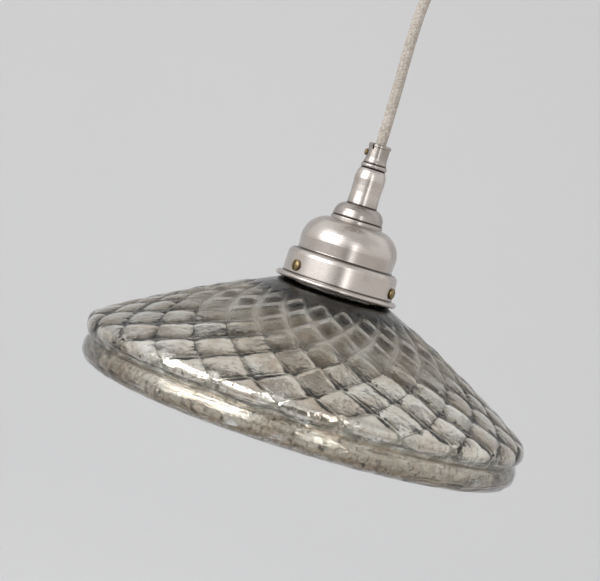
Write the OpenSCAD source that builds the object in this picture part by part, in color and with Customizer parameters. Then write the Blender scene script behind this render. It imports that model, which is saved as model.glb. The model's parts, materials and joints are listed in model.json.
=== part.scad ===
// Pendant ceiling light: a diamond-quilted glass shade held by three screws in a spun
// metal gallery, hung on a short braided flex from a matching ceiling rose.
// Millimetres. The origin is the centre of the face that meets the ceiling, +Z is up,
// -Y is the front, and the whole light hangs below z = 0.

/* [Ceiling rose] */
// Radius of the rose cup at the ceiling
rose_r = 50; // [46:1:60]
// Height of the rose cup
rose_h = 26; // [24:1:34]
// Height of the upright band at the rose cup's rim
rose_band_h = 11; // [10:0.5:14]
// Radius of the flat boss under the rose cup
rose_boss_r = 10; // [8.5:0.5:14]
// Distance between the two ceiling screw holes of the bracket
fixing_pitch = 50.8; // [44:0.1:60.8]
// Radius of each ceiling screw hole
fixing_hole_r = 2.3; // [1.8:0.1:3]
// Width of the bracket strap
bracket_w = 16; // [12:1:22]
// Thickness of the bracket strap
bracket_t = 1.6; // [1:0.1:2.5]
// Length of the bracket's bent ears
ear_h = 8; // [7:0.5:8.5]
// Height of the rose's cord grip below the cup
rose_grip_h = 14; // [11:0.5:20]

/* [Terminal block] */
// Distance between neighbouring poles
pole_pitch = 8.6; // [7:0.2:11]
// Depth of the block along its wire tubes
block_w = 17; // [14:0.5:22]
// Height of the block
block_h = 11; // [9.5:0.5:13]
// Inner radius of each wire tube
tube_bore_r = 1.2; // [1.1:0.05:1.4]

/* [Flex] */
// Diameter of the braided flex
flex_d = 6; // [5:0.1:6.4]
// Free length of flex between the two cord grips
flex_drop = 90; // [60:5:400]
// Diameter of each insulated core
core_d = 1.9; // [1.4:0.1:2.1]

/* [Fitting above the gallery] */
// Thickness of the spun sheet metal
metal_t = 0.9; // [0.7:0.1:1.3]
// Outer radius of the threaded nipple
nipple_r = 4.95; // [4.6:0.05:5.3]
// Radius of the cord grip's body
grip_r = 5.9; // [5.7:0.1:7]
// Height of the cord grip
grip_h = 11.2; // [9:0.2:16]
// Radius of the collar ring under the cord grip
ring_r = 7.4; // [6.8:0.1:9]
// Height of the collar ring
ring_h = 2.7; // [2:0.1:4]
// Radius of the slim sleeve
sleeve_r = 8.55; // [7.9:0.05:11]
// Height of the slim sleeve
sleeve_h = 20.8; // [16:0.2:40]
// Radius of the domed collar at its foot
dome_r = 14; // [11.5:0.5:18]
// Height of the domed collar
dome_h = 8; // [6.5:0.5:11]

/* [Gallery] */
// Ledge of the raised step round the domed collar
step_ledge = 0.6; // [0.3:0.1:4]
// Height of the raised step
step_h = 2; // [1.4:0.1:3]
// Height of the gallery from its rolled lip to the top of the bell
gallery_h = 36.8; // [35:0.2:44]
// How far the bell stands out round the lampholder
bell_play = 7.5; // [6.5:0.1:9.5]
// Rounding of the bell's shoulder
bell_round = 14; // [8:0.5:18]
// Radius of the screw band
band_r = 31.2; // [30.8:0.1:34]
// Height of the screw band above the rolled lip
band_h = 15.6; // [13.5:0.1:17]
// Outer radius of the rolled lip
lip_r = 34.2; // [33.4:0.1:38]
// Thickness of the rolled lip
lip_d = 2.8; // [2:0.1:3.4]

/* [Gallery screws] */
// Angle of the first screw from the front
first_screw = -50; // [-60:1:0]
// Height of the screws above the rolled lip
screw_z = 6.2; // [5:0.1:7]
// Radius of a screw's shank
screw_r = 1.9; // [1.5:0.1:2.2]
// Radius of a screw's domed head
screw_head_r = 3.1; // [2.6:0.1:3.6]
// Height of a screw's domed head
screw_head_h = 1.6; // [1.2:0.1:2.2]

/* [Glass shade] */
// Radius of the shade at its shoulder, before the quilting
shade_r = 123.7; // [105:0.1:150]
// Radius at which the quilting ends, towards the neck
quilt_top_r = 41; // [38:0.5:60]
// Gap between the neck's lip and the wall of the gallery
neck_play = 1.8; // [1.4:0.1:2.4]
// How far the neck's lip stands out from the neck
neck_ledge = 2; // [1.5:0.1:2.5]
// Height of the neck's lip
neck_lip_h = 3; // [2:0.2:3.6]
// Height of the neck below its lip
neck_h = 9.2; // [8.8:0.1:12]
// Thickness of the glass
glass_t = 3.4; // [2.6:0.1:4.2]
// Slope of the cone at the neck, in degrees
slope_top = 24.5; // [20:0.5:28]
// Slope of the cone at the shoulder, in degrees
slope_foot = 31; // [29:0.5:36]
// Rounding of the shoulder
shoulder_round = 7.8; // [6:0.1:10]
// Rounding of the rim bead
bead_round = 8.3; // [6:0.1:9]
// Number of diamonds round the shade
diamonds = 24; // [20:2:28]
// Rows of groove crossings between the lowest and the top of the quilting
crossing_rows = 8; // [6:1:10]
// Height of a diamond's pillow above its grooves
relief = 1.4; // [0.8:0.1:1.8]
// Angle of the first groove crossing on the shoulder from the front
quilt_phase = -5; // [-15:0.5:15]

/* [Lampholder] */
// Outer radius of the lampholder's skirt
holder_r = 19.5; // [18.6:0.1:20.5]
// Wall thickness of the skirt
holder_t = 1.5; // [1.2:0.1:2]
// How far the skirt's mouth hangs below the rolled lip
holder_drop = 10; // [8:0.5:13]

/* [Bulb] */
// Radius of the bulb's cap
cap_r = 13.1; // [12.7:0.05:13.3]
// Radius of the bulb's globe
globe_r = 22.5; // [20:0.5:23]
// Length of one light stick in the bulb
stick_l = 20; // [16:1:22]

/* [Hidden] */
$fn = 96;

edge = 0.5;       // small broken edge of a turned or pressed piece
nut_r = 8;        // corner radius of the thin hexagon nuts
fit = 0.1;        // clearance of a screwed or sliding fit, on the radius
run = 0.08;       // clearance of the bulb's cap in its shell, on the radius
seat = 0.3;       // gap between two pieces that rest on each other
flex_r = flex_d / 2;
core_r = core_d / 2;
flex_bore = flex_r + 0.3;
bell_r = holder_r + bell_play;
neck_lip_r = band_r - metal_t - neck_play;
neck_r = neck_lip_r - neck_ledge;

antique_silver = [0.72, 0.70, 0.68];
aged_brass = [0.55, 0.47, 0.30];
clean_brass = [0.80, 0.65, 0.35];
zinc = [0.70, 0.71, 0.73];
white_nylon = [0.92, 0.92, 0.90];
porcelain = [0.95, 0.94, 0.91];
linen = [0.66, 0.60, 0.54];
silvered_glass = [0.74, 0.75, 0.72];
clear_glass = [0.85, 0.90, 0.92, 0.5];

// Heights, from the ceiling down
z_rose_floor = -rose_h;
z_pivot = z_rose_floor - rose_grip_h;      // where the flex leaves the rose and swings
z_grip = z_pivot - flex_drop;              // top of the cord grip
z_ring = z_grip - grip_h;
z_sleeve = z_ring - ring_h;
z_dome = z_sleeve - sleeve_h;
z_step = z_dome - dome_h;
z_bell = z_step - step_h;
z_lip = z_bell - gallery_h;                // middle of the gallery's rolled lip
z_crease = z_lip + band_h;
z_screw = z_lip + screw_z;

// ---------------------------------------------------------------- helpers

// A point of the circle round c, where a is the slope of the surface: 0 on top, 90 at the side.
function on_arc(c, r, a) = c + r * [sin(a), cos(a)];
function arc(c, r, from, to, steps) =
    [for (i = [0:steps]) on_arc(c, r, from + (to - from) * i / steps)];
function flip(list) = [for (i = [len(list) - 1:-1:0]) list[i]];
function unit(v) = v / norm(v);

// The path p moved sideways by t, to the right of its direction of travel, with mitred corners.
function beside(p, t) =
    let (last = len(p) - 1,
         side = [for (i = [0:last - 1]) let (d = unit(p[i + 1] - p[i])) [d[1], -d[0]]])
    [for (i = [0:last])
        let (a = side[max(i - 1, 0)], b = side[min(i, last - 1)])
        p[i] + t * (a + b) / (1 + a * b)];

// A spun sheet shell: the outside path from its centre hole to its rim, and the wall inside it.
module spun(outside, wall) {
    rotate_extrude()
        polygon(concat(outside, flip(beside(outside, wall))));
}

// A ring: a plain turned piece between two radii.
module ring(outer, inner, height) {
    difference() {
        cylinder(r = outer, h = height);
        translate([0, 0, -1]) cylinder(r = inner, h = height + 2);
    }
}

// The direction of a route at its point i.
function heading(route, i) = unit(route[min(i + 1, len(route) - 1)] - route[max(i - 1, 0)]);
function square_to(v, along) = unit(v - (v * along) * along);

// A swept tube: one ring of the given radius round each point of the route. The rings are
// carried along the route without twist.
module tube(route, radii, sides) {
    last = len(route) - 1;
    across = [
        for (i = 0, v = square_to([1, 0.01, 0], heading(route, 0)); i <= last;
             i = i + 1, v = square_to(v, heading(route, min(i, last))))
            v
    ];
    rings = [
        for (i = [0:last])
            let (up = cross(heading(route, i), across[i]))
            for (k = [0:sides - 1])
                route[i] + radii[i]
                    * (cos(360 * k / sides) * across[i] + sin(360 * k / sides) * up)
    ];
    sides_faces = [
        for (i = [0:last - 1], k = [0:sides - 1])
            let (a = i * sides + k, b = i * sides + (k + 1) % sides)
            each [[a, a + sides, b], [b, a + sides, b + sides]]
    ];
    ends = [[for (k = [0:sides - 1]) k], [for (k = [sides - 1:-1:0]) last * sides + k]];
    polyhedron(rings, concat(sides_faces, ends), convexity = 4);
}

module core(route) {
    tube(route, [for (p = route) core_r], 8);
}

// A slotted screw with a domed head. Its shank starts at the head's flat face and runs along -X.
module slotted_screw(shank_r, shank_l, head_r, head_h) {
    slot_w = 0.8;
    dome_rise = head_h * 0.75;
    rotate([0, 90, 0])
        difference() {
            union() {
                translate([0, 0, -shank_l]) cylinder(r = shank_r, h = shank_l + 0.1);
                rotate_extrude()
                    polygon(concat([[0, 0], [head_r, 0]],
                        [for (a = [0:15:90])
                            [head_r * cos(a), head_h - dome_rise + dome_rise * sin(a)]]));
            }
            translate([-head_r - 1, -slot_w / 2, head_h * 0.45])
                cube([2 * head_r + 2, slot_w, head_h]);
        }
}

// Turns a piece that points along +X to an angle round the light, counted from the front.
module at_angle(angle, z) {
    translate([0, 0, z]) rotate([0, 0, angle - 90]) children();
}

// ---------------------------------------------------------------- ceiling rose

rose_shoulder = 2;                         // from the rose's dome out to its upright band
rose_shoulder_h = 0.6;                     // and how far the dome starts below the band
rose_foot_h = 1.8;                         // height of the boss below the dome's lowest curve
rose_band_round = 1.2;                     // rounding under the band
ear_gap = 3.4;                             // between the cup's wall and the bracket's ears
shank_tail = 3.4;                          // how far a side screw reaches past its ear
ear_x = rose_r - metal_t - ear_gap;        // outer face of the bracket's ears
side_screw_z = -bracket_t - ear_h * 0.5;
grip_stem_h = 5.2;                         // threaded stem of the rose's cord grip inside the cup
rose_nut_h = 3;
grip_screw_r = 1.4;
grip_screw_head_r = 1.9;
grip_screw_head_h = 1.4;
rose_grip_screw_z = z_pivot + rose_grip_h * 0.5;

function rose_outside() =
    let (dome_w = rose_r - rose_shoulder - rose_boss_r,
         dome_drop = rose_h - rose_band_h - rose_shoulder_h - rose_foot_h)
    concat(
        [[nipple_r + fit, z_rose_floor], [rose_boss_r - edge, z_rose_floor],
         [rose_boss_r, z_rose_floor + edge]],
        [for (a = [75:-7.5:0])
            [rose_boss_r + dome_w * cos(a),
             -rose_band_h - rose_shoulder_h - dome_drop * sin(a)]],
        [[rose_r - rose_band_round, -rose_band_h + rose_band_round / 12],
         [rose_r - rose_band_round / 5, -rose_band_h + rose_band_round * 7 / 12],
         [rose_r, -rose_band_h + rose_band_round * 5 / 4], [rose_r, 0]]);

module rose_cup() {
    color(antique_silver)
        difference() {
            spun(rose_outside(), -metal_t);
            for (side = [-90, 90])
                at_angle(side, side_screw_z)
                    rotate([0, 90, 0]) cylinder(r = screw_r + fit, h = 2 * rose_r);
        }
}

module rose_bracket() {
    color(zinc)
        difference() {
            union() {
                translate([-ear_x, -bracket_w / 2, -bracket_t])
                    cube([2 * ear_x, bracket_w, bracket_t]);
                for (x = [-ear_x, ear_x - bracket_t])
                    translate([x, -bracket_w / 2, -bracket_t - ear_h])
                        cube([bracket_t, bracket_w, ear_h + edge]);
            }
            for (x = [-fixing_pitch / 2, fixing_pitch / 2])
                translate([x, 0, -bracket_t - 1])
                    cylinder(r = fixing_hole_r, h = bracket_t + 2);
            translate([-rose_r, 0, side_screw_z])
                rotate([0, 90, 0]) cylinder(r = screw_r + fit, h = 2 * rose_r);
        }
}

// A screw that holds the cup to an ear of the bracket, at an angle from the front.
module side_screw(angle) {
    color(aged_brass)
        at_angle(angle, side_screw_z)
            translate([rose_r + seat / 2, 0, 0])
                slotted_screw(screw_r, rose_r - ear_x + bracket_t + shank_tail,
                              screw_head_r, screw_head_h);
}

module rose_side_screw_left() { side_screw(-90); }
module rose_side_screw_right() { side_screw(90); }

// A cord grip's outline from its flared foot to its beaded mouth, for a height h.
grip_flare = 0.6;
grip_flare_h = 3.4;
grip_bead = 0.35;
grip_bead_h = 2.2;
function grip_outline(h) = [
    [grip_r + grip_flare, 0], [grip_r + grip_flare, 0.9], [grip_r + grip_flare / 4, 2.2],
    [grip_r, grip_flare_h],
    [grip_r, h - grip_bead_h], [grip_r + grip_bead, h - grip_bead_h + edge],
    [grip_r + grip_bead, h - 0.6], [grip_r - 0.1, h]
];

module rose_cord_grip() {
    mouth = 1.5;                           // flare for the swinging flex
    color(antique_silver)
        difference() {
            rotate_extrude()
                polygon(concat(
                    [[flex_bore, z_rose_floor + grip_stem_h], [flex_bore, z_pivot + mouth],
                     [flex_bore + 0.5 * mouth, z_pivot]],
                    flip([for (p = grip_outline(rose_grip_h)) [p[0], z_rose_floor - p[1]]]),
                    [[nipple_r, z_rose_floor], [nipple_r, z_rose_floor + grip_stem_h]]));
            at_angle(-90, rose_grip_screw_z)
                rotate([0, 90, 0]) cylinder(r = grip_screw_r + fit, h = 2 * grip_r);
        }
}

module rose_grip_nut() {
    color(zinc)
        translate([0, 0, z_rose_floor + metal_t])
            difference() {
                cylinder(r = nut_r, h = rose_nut_h, $fn = 6);
                translate([0, 0, -1]) cylinder(r = nipple_r + fit, h = rose_nut_h + 2);
            }
}

// The pinch screw of a cord grip: its tip bears on the flex.
module pinch_screw(z) {
    color(aged_brass)
        at_angle(-90, z)
            translate([grip_r + seat / 2, 0, 0])
                slotted_screw(grip_screw_r, grip_r - flex_r - seat / 2,
                              grip_screw_head_r, grip_screw_head_h);
}

module rose_grip_screw() {
    pinch_screw(rose_grip_screw_z);
}

// ---------------------------------------------------------------- terminal block

tube_r = tube_bore_r + 0.7;
block_l = 3 * pole_pitch;
z_block = -bracket_t;                      // top of the block, under the strap
z_poles = z_block - block_h / 2;
clamp_screw_r = 1.3;
poles = [-pole_pitch, 0, pole_pitch];

module terminal_block() {
    color(white_nylon)
        difference() {
            union() {
                for (x = poles)
                    translate([x - pole_pitch * 0.4, -block_w / 2, z_block - block_h])
                        cube([pole_pitch * 0.8, block_w, block_h]);
                translate([-block_l / 2 + 1, -block_w * 0.3, z_block - block_h * 0.7])
                    cube([block_l - 2, block_w * 0.6, block_h * 0.7]);
            }
            for (x = poles) {
                translate([x, -block_w, z_poles])
                    rotate([-90, 0, 0]) cylinder(r = tube_r + fit, h = 2 * block_w);
                for (y = [-block_w / 4, block_w / 4])
                    translate([x, y, z_block - block_h - 1])
                        cylinder(r = clamp_screw_r + 0.4, h = block_h / 2 + 1);
            }
        }
}

module terminal_tubes() {
    color(clean_brass)
        for (x = poles)
            translate([x, -block_w * 0.44, z_poles])
                rotate([-90, 0, 0]) ring(tube_r, tube_bore_r, block_w * 0.88);
}

module terminal_screws() {
    screw_l = block_h / 2 - tube_r - fit;
    color(clean_brass)
        for (x = poles, y = [-block_w / 4, block_w / 4])
            translate([x, y, z_block - block_h])
                difference() {
                    cylinder(r = clamp_screw_r, h = screw_l);
                    translate([-clamp_screw_r - 1, -0.3, -1])
                        cube([2 * clamp_screw_r + 2, 0.6, 1.8]);
                }
}

// ---------------------------------------------------------------- flex and cores

z_rose_flex_end = z_rose_floor + 8;
flex_entry = 2;                            // how far the free flex reaches into the cord grip
z_flex_foot = z_grip - flex_entry;

// The fixed stretch of flex in the rose's cord grip.
module rose_flex() {
    color(linen)
        translate([0, 0, z_pivot + flex_r + seat])
            cylinder(r = flex_r, h = z_rose_flex_end - z_pivot - flex_r - seat);
}

// Where a core leaves the flex: the three lie against each other.
function core_seat(side) =
    (core_r + 0.1) * 1.155 * [sin(180 - 120 * side), cos(180 - 120 * side)];

// A core's way from the flex's end up and into its pole of the terminal block.
function rose_core_route(side) =
    let (a = core_seat(side), x = side * pole_pitch, y = -block_w / 2, z = z_rose_flex_end,
         under = (z + z_block - block_h) / 2)
    [[a[0], a[1], z], [a[0], a[1], z + 0.6], [a[0] + side * 0.4, a[1] - 0.7, under - 0.3],
     [x * 0.4, y * 0.5, under], [x * 0.7, y * 0.85, under + 0.2], [x * 0.9, y - 1.2, under + 1.2],
     [x, y - 2.6, (under + z_poles) / 2], [x, y - 2.5, z_poles - 1.4],
     [x, y - 1.6, z_poles - 0.3], [x, y - 0.4, z_poles], [x, y * 0.55, z_poles]];

module rose_core_line() { color("saddlebrown") core(rose_core_route(-1)); }
module rose_core_neutral() { color("royalblue") core(rose_core_route(1)); }
module rose_core_earth() { color("yellowgreen") core(rose_core_route(0)); }

// Sideways bow of the free flex, as [share of its length, offset].
flex_bow = [[0, 0], [0.1, 0], [0.25, -0.2], [0.4, -0.5], [0.55, -0.9], [0.7, -1.1],
            [0.85, -0.8], [0.95, -0.2], [1, 0]];
flex_route = [for (b = flex_bow) [b[1], 0, z_flex_foot + b[0] * (z_pivot - z_flex_foot)]];

// The free flex. Its top is a ball round the point that it swings about.
module flex() {
    ball = [for (a = [30, 60, 85]) [[0, 0, z_pivot + flex_r * sin(a)], flex_r * cos(a)]];
    color(linen)
        tube(concat(flex_route, [for (b = ball) b[0]]),
             concat([for (p = flex_route) flex_r], [for (b = ball) b[1]]), 12);
}

// ---------------------------------------------------------------- fitting above the gallery

nipple_bore = flex_bore;
nipple_up = 3.4;                           // how far the nipple reaches into the cord grip
grip_screw_z = z_ring + grip_h * 0.5;
z_under_bell = z_step - metal_t;           // underside of the step, where the nut bears
nut_h = 2.6;
z_holder = z_under_bell - nut_h;           // top of the lampholder's cap, under the nut
holder_boss_h = 3.5;                       // depth of the threaded boss in the cap
z_nipple_foot = z_holder - holder_boss_h - 0.4;
z_lamp_flex_end = z_nipple_foot - 0.8;

module cord_grip() {
    slit_w = 1;
    color(antique_silver)
        difference() {
            rotate_extrude()
                polygon(concat(
                    [for (p = grip_outline(grip_h)) [p[0], z_ring + p[1]]],
                    [[flex_bore, z_grip], [flex_bore, z_ring + nipple_up + seat],
                     [nipple_r + fit, z_ring + nipple_up + seat], [nipple_r + fit, z_ring]]));
            at_angle(-90, grip_screw_z)
                rotate([0, 90, 0]) cylinder(r = grip_screw_r + fit, h = 2 * grip_r);
            at_angle(-35, z_grip - grip_h * 0.3)
                translate([0, -slit_w / 2, 0]) cube([grip_r + 3, slit_w, grip_h]);
        }
}

module grip_screw() {
    pinch_screw(grip_screw_z);
}

module collar_ring() {
    round_r = ring_h / 2;
    color(antique_silver)
        translate([0, 0, z_sleeve])
            rotate_extrude()
                polygon(concat(
                    [[nipple_r + fit, ring_h]],
                    arc([ring_r - round_r, round_r], round_r, 15, 165, 10),
                    [[nipple_r + fit, 0]]));
}

module sleeve() {
    shoulder = sleeve_h * 0.28;
    waist = 0.3;
    outside = concat(
        [[nipple_r + fit, z_sleeve], [ring_r - 0.9, z_sleeve], [ring_r - 0.3, z_sleeve - 0.4]],
        [for (t = [0.25:0.25:1])
            [ring_r + (sleeve_r - ring_r) * sin(90 * t), z_sleeve - 0.4 - shoulder * t]],
        [for (t = [0.25:0.25:1])
            [sleeve_r - waist * sin(180 * t), z_sleeve - 0.4 - shoulder
             - (sleeve_h - 0.4 - shoulder) * t]]);
    color(antique_silver) spun(outside, metal_t);
}

module domed_collar() {
    top_r = sleeve_r + 0.1;
    outside = concat(
        [[nipple_r + fit, z_dome], [top_r - 0.8, z_dome]],
        [for (a = [75:-15:0])
            [top_r - 0.8 + (dome_r - top_r + 0.8) * cos(a),
             z_step + 0.8 + (dome_h - 0.8) * sin(a)]],
        [[dome_r, z_step]]);
    color(antique_silver) spun(outside, metal_t);
}

module nipple() {
    color(clean_brass)
        translate([0, 0, z_nipple_foot])
            ring(nipple_r, nipple_bore, z_ring + nipple_up - z_nipple_foot);
}

module lamp_flex() {
    color(linen)
        translate([0, 0, z_lamp_flex_end])
            cylinder(r = flex_r, h = z_flex_foot - z_lamp_flex_end);
}

// ---------------------------------------------------------------- gallery

step_r = dome_r + step_ledge;
band_round = 3.2;
band_taper = 0.3;                          // how much narrower the band is at its top
crease = 0.4;                              // depth of the crease between the bell and the band
crease_round = 1;
screws = 3;                                // in the band, evenly spaced

function gallery_outside() =
    let (bell_c = [bell_r - bell_round, z_bell - bell_round],
         start = asin((step_r - bell_c[0]) / bell_round))
    concat(
        [[nipple_r + fit, z_step]],
        arc([step_r - metal_t - 0.2, z_step - metal_t - 0.2], metal_t + 0.2, 0, 90, 4),
        arc(bell_c, bell_round, max(start, 4), 90, 14),
        arc([bell_r - crease + crease_round, z_crease + crease_round], -crease_round,
            90, 15, 4),
        arc([band_r - band_taper - band_round, z_crease - band_round], band_round,
            max(0, asin((bell_r + crease_round - band_r + band_round) / band_round)), 90, 6),
        [[band_r, z_lip + lip_d * 0.6], [band_r + 0.2, z_lip + lip_d * 0.35],
         [lip_r - lip_d * 0.55, z_lip + lip_d * 0.2]]);

module gallery() {
    color(antique_silver)
        difference() {
            union() {
                spun(gallery_outside(), metal_t);
                translate([0, 0, z_lip])
                    rotate_extrude()
                        translate([lip_r - lip_d / 2, 0]) circle(r = lip_d / 2, $fn = 48);
            }
            for (i = [0:screws - 1])
                at_angle(first_screw + i * 360 / screws, z_screw)
                    rotate([0, 90, 0]) cylinder(r = screw_r + fit, h = 2 * band_r);
        }
}

module gallery_nut() {
    color(clean_brass)
        translate([0, 0, z_under_bell - nut_h])
            difference() {
                cylinder(r = nut_r, h = nut_h, $fn = 6);
                translate([0, 0, -1]) cylinder(r = nipple_r + fit, h = nut_h + 2);
            }
}

module gallery_screw(index) {
    color(aged_brass)
        at_angle(first_screw + index * 360 / screws, z_screw)
            translate([band_r + seat / 2, 0, 0])
                slotted_screw(screw_r, band_r + seat / 2 - neck_r - seat,
                              screw_head_r, screw_head_h);
}

module gallery_screw_left() { gallery_screw(0); }
module gallery_screw_right() { gallery_screw(1); }
module gallery_screw_back() { gallery_screw(2); }

// ---------------------------------------------------------------- glass shade

// The neck's lip rests on the screws. The cone leaves the neck through a small fillet.
neck_fillet = 2.5;
z_neck_lip = z_screw + screw_r + seat;     // underside of the neck's lip
z_cone = z_neck_lip - neck_h;              // where the cone starts
neck_bore = neck_r - 3;
cone_top = [neck_r + neck_fillet * (1 - cos(90 - slope_top)), z_cone];

// The cone is a very large arc, a little steeper at its foot than at its top.
cone_foot_r = shade_r - shoulder_round * (1 - sin(slope_foot));
cone_round = (cone_foot_r - cone_top[0]) / (sin(slope_foot) - sin(slope_top));
cone_c = cone_top - cone_round * [sin(slope_top), cos(slope_top)];
cone_foot = on_arc(cone_c, cone_round, slope_foot);
shoulder_c = cone_foot - shoulder_round * [sin(slope_foot), cos(slope_foot)];

// Under the shoulder, a tight groove leads into the bead of the rim.
shoulder_end = 140;
groove_end = 50;
shoulder_foot = on_arc(shoulder_c, shoulder_round, shoulder_end);
groove_drop = 0.4;
bead_top = shoulder_foot - [0, groove_drop];
bead_c = bead_top - bead_round * [sin(groove_end), cos(groove_end)];
bead_end = 205;
inner_wall_r = shoulder_foot[0] - glass_t * 0.75;

// Walking up the outside from the shoulder's widest line, climb is the distance walked.
walk_steps = 240;
walk_slopes = concat(
    [for (i = [0:walk_steps / 4 - 1]) [0, 90 - (90 - slope_foot) * i * 4 / walk_steps]],
    [for (i = [0:walk_steps]) [1, slope_foot - (slope_foot - slope_top) * i / walk_steps]]);
walk = [for (w = walk_slopes)
    w[0] == 0 ? on_arc(shoulder_c, shoulder_round, w[1]) : on_arc(cone_c, cone_round, w[1])];
last_step = len(walk) - 1;
climbs = [for (i = 0, t = 0; i <= last_step;
               t = t + norm(walk[min(i + 1, last_step)] - walk[i]), i = i + 1) t];
r_of_climb = [for (i = [0:last_step]) [climbs[i], walk[i][0]]];
z_of_climb = [for (i = [0:last_step]) [climbs[i], walk[i][1]]];
slope_of_climb = [for (i = [0:last_step]) [climbs[i], walk_slopes[i][1]]];
climb_of_r = [for (i = [last_step:-1:0]) [walk[i][0], climbs[i]]];

cuts = 4;                                  // mesh steps across one diamond
columns = cuts * diamonds;
step = 360 / columns;
half_cell = cuts / 2;                      // mesh rows between two rows of crossings
top_row = half_cell * crossing_rows;
quilt_foot = 1.2;                          // climb to the lowest crossings
row_climb = (lookup(quilt_top_r, climb_of_r) - quilt_foot) / top_row;

// Height of the pillow at mesh column c and row m, counted up from the crossings on the shoulder.
// Diamonds whose upper tip would pass the last row are left out.
function bulge(f) = 1 - pow(abs(2 * f - 1), 3);
function frac(x) = x - floor(x);
function pillow(c, m) =
    let (u = (c + m) / cuts, v = (c - m) / cuts,
         middle = half_cell * (floor(u) - floor(v)))
    middle + half_cell > top_row ? 0 : bulge(frac(u)) * bulge(frac(v));

// Each row of the outside is [radius, z, slope, weight of the quilting, row number].
quilt_rows = [
    for (m = [top_row:-1:0])
        let (climb = quilt_foot + m * row_climb)
        [lookup(climb, r_of_climb), lookup(climb, z_of_climb), lookup(climb, slope_of_climb),
         min(1, (top_row - m) / half_cell, 0.5 + m / 4), m]
];
function plain(p) = [p[0], p[1], 0, 0, 0];
neck_rows = [
    for (p = concat(
        [[neck_bore, z_neck_lip + neck_lip_h - 0.5], [neck_bore + 0.5, z_neck_lip + neck_lip_h],
         [neck_lip_r - 0.7, z_neck_lip + neck_lip_h], [neck_lip_r, z_neck_lip + neck_lip_h - 0.7],
         [neck_lip_r, z_neck_lip + 0.5], [neck_lip_r - 0.5, z_neck_lip], [neck_r, z_neck_lip]],
        [for (t = [0, 33, 66]) let (a = t * (90 - slope_top) / 66)
            [cone_top[0] - neck_fillet * (cos(a) - sin(slope_top)),
             cone_top[1] + neck_fillet * (cos(slope_top) - sin(a))]],
        [[(cone_top[0] + quilt_rows[0][0]) / 2, (cone_top[1] + quilt_rows[0][1]) / 2]]))
    plain(p)
];
rim_rows = [
    for (p = concat(
        arc(shoulder_c, shoulder_round, 90, shoulder_end, 3),
        arc(bead_c, bead_round, groove_end, bead_end, 8)))
    plain(p)
];
inner_bead = bead_round - glass_t;
inner_shoulder = shoulder_round - glass_t;
bead_in = asin(min(1, (inner_wall_r - bead_c[0]) / inner_bead));
shoulder_in = 180 - asin(min(1, (inner_wall_r - shoulder_c[0]) / inner_shoulder));
inside_rows = [
    for (p = concat(
        arc(bead_c, inner_bead, bead_end, bead_in, 5),
        arc(shoulder_c, inner_shoulder, shoulder_in, slope_foot, 3),
        [for (i = [1:4]) on_arc(cone_c, cone_round - glass_t,
            slope_foot - (slope_foot - slope_top) * i / 4)],
        [[neck_bore, cone_c[1] + (cone_round - glass_t) * cos(slope_top)
          + ((cone_c + (cone_round - glass_t) * [sin(slope_top), 0])[0] - neck_bore)
          * tan(slope_top)]]))
    plain(p)
];
shade_rows = concat(neck_rows, quilt_rows, rim_rows, inside_rows);

module shade() {
    sink = 0.4;                            // share of the relief that lies below the mould line
    points = [
        for (row = shade_rows, c = [0:columns - 1])
            let (push = relief * row[3] * (pillow(c, row[4]) - sink),
                 r = row[0] + push * sin(row[2]),
                 z = row[1] + push * cos(row[2]),
                 a = quilt_phase + c * step)
            [r * sin(a), -r * cos(a), z]
    ];
    rows = len(shade_rows);
    faces = [
        for (i = [0:rows - 1], c = [0:columns - 1])
            let (d = (c + 1) % columns, j = (i + 1) % rows,
                 a = i * columns + c, b = i * columns + d,
                 e = j * columns + c, f = j * columns + d,
                 rising = (c + shade_rows[i][4]) % cuts == 0)
            each rising ? [[a, b, f], [a, f, e]] : [[a, b, e], [b, f, e]]
    ];
    color(silvered_glass) polyhedron(points, faces, convexity = 8);
}

// ---------------------------------------------------------------- lampholder

holder_cap_h = 13;
holder_round = 4;                          // rounding of the cap's shoulder
cap_out_r = holder_r + 0.3;                // the cap overlaps the skirt a little
holder_wall = 2;                           // thickness of the cap's roof
z_mouth = z_lip - holder_drop;
z_joint = z_holder - holder_cap_h;         // where the cap meets the skirt
spigot_h = 4;
spigot_r = holder_r - holder_t + fit;
insulator_r = holder_r - holder_t - 2 * fit;
shell_t = 0.4;
shell_r = cap_r + run;
z_insulator = z_mouth + 1.4 + seat;        // foot of the porcelain, above the skirt's lip
z_terminals = z_joint - 0.5 - seat;        // its top, under the skirt's threaded neck
disc_h = 5;
z_disc = z_terminals - disc_h;             // underside of the porcelain disc
terminal_x = 9;
terminal_h = 4;

module holder_cap() {
    color(antique_silver)
        rotate_extrude()
            polygon(concat(
                [[nipple_r + fit, z_holder], [cap_out_r - holder_round, z_holder]],
                arc([cap_out_r - holder_round, z_holder - holder_round], holder_round, 15, 90, 6),
                [[cap_out_r, z_joint], [spigot_r + fit, z_joint],
                 [spigot_r + fit, z_holder - holder_round - edge],
                 [holder_r - holder_round, z_holder - holder_wall],
                 [nipple_r + 2.5, z_holder - holder_wall], [nipple_r + 2.5, z_holder - holder_boss_h],
                 [nipple_r + fit, z_holder - holder_boss_h]]));
}

module holder_skirt() {
    color(antique_silver)
        rotate_extrude()
            polygon([
                [spigot_r - 1.2 + fit, z_joint + spigot_h], [spigot_r, z_joint + spigot_h],
                [spigot_r, z_joint], [holder_r, z_joint], [holder_r, z_mouth + 2.4],
                [holder_r + 0.5, z_mouth + 1.6], [holder_r + 0.5, z_mouth + 0.6],
                [holder_r, z_mouth], [shell_r + 2.2, z_mouth], [shell_r + 1.8, z_mouth + 0.4],
                [shell_r + 1.8, z_mouth + 1.4], [insulator_r + fit, z_mouth + 1.4],
                [insulator_r + fit, z_joint - 0.5], [spigot_r - 1.2 + fit, z_joint]
            ]);
}

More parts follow.
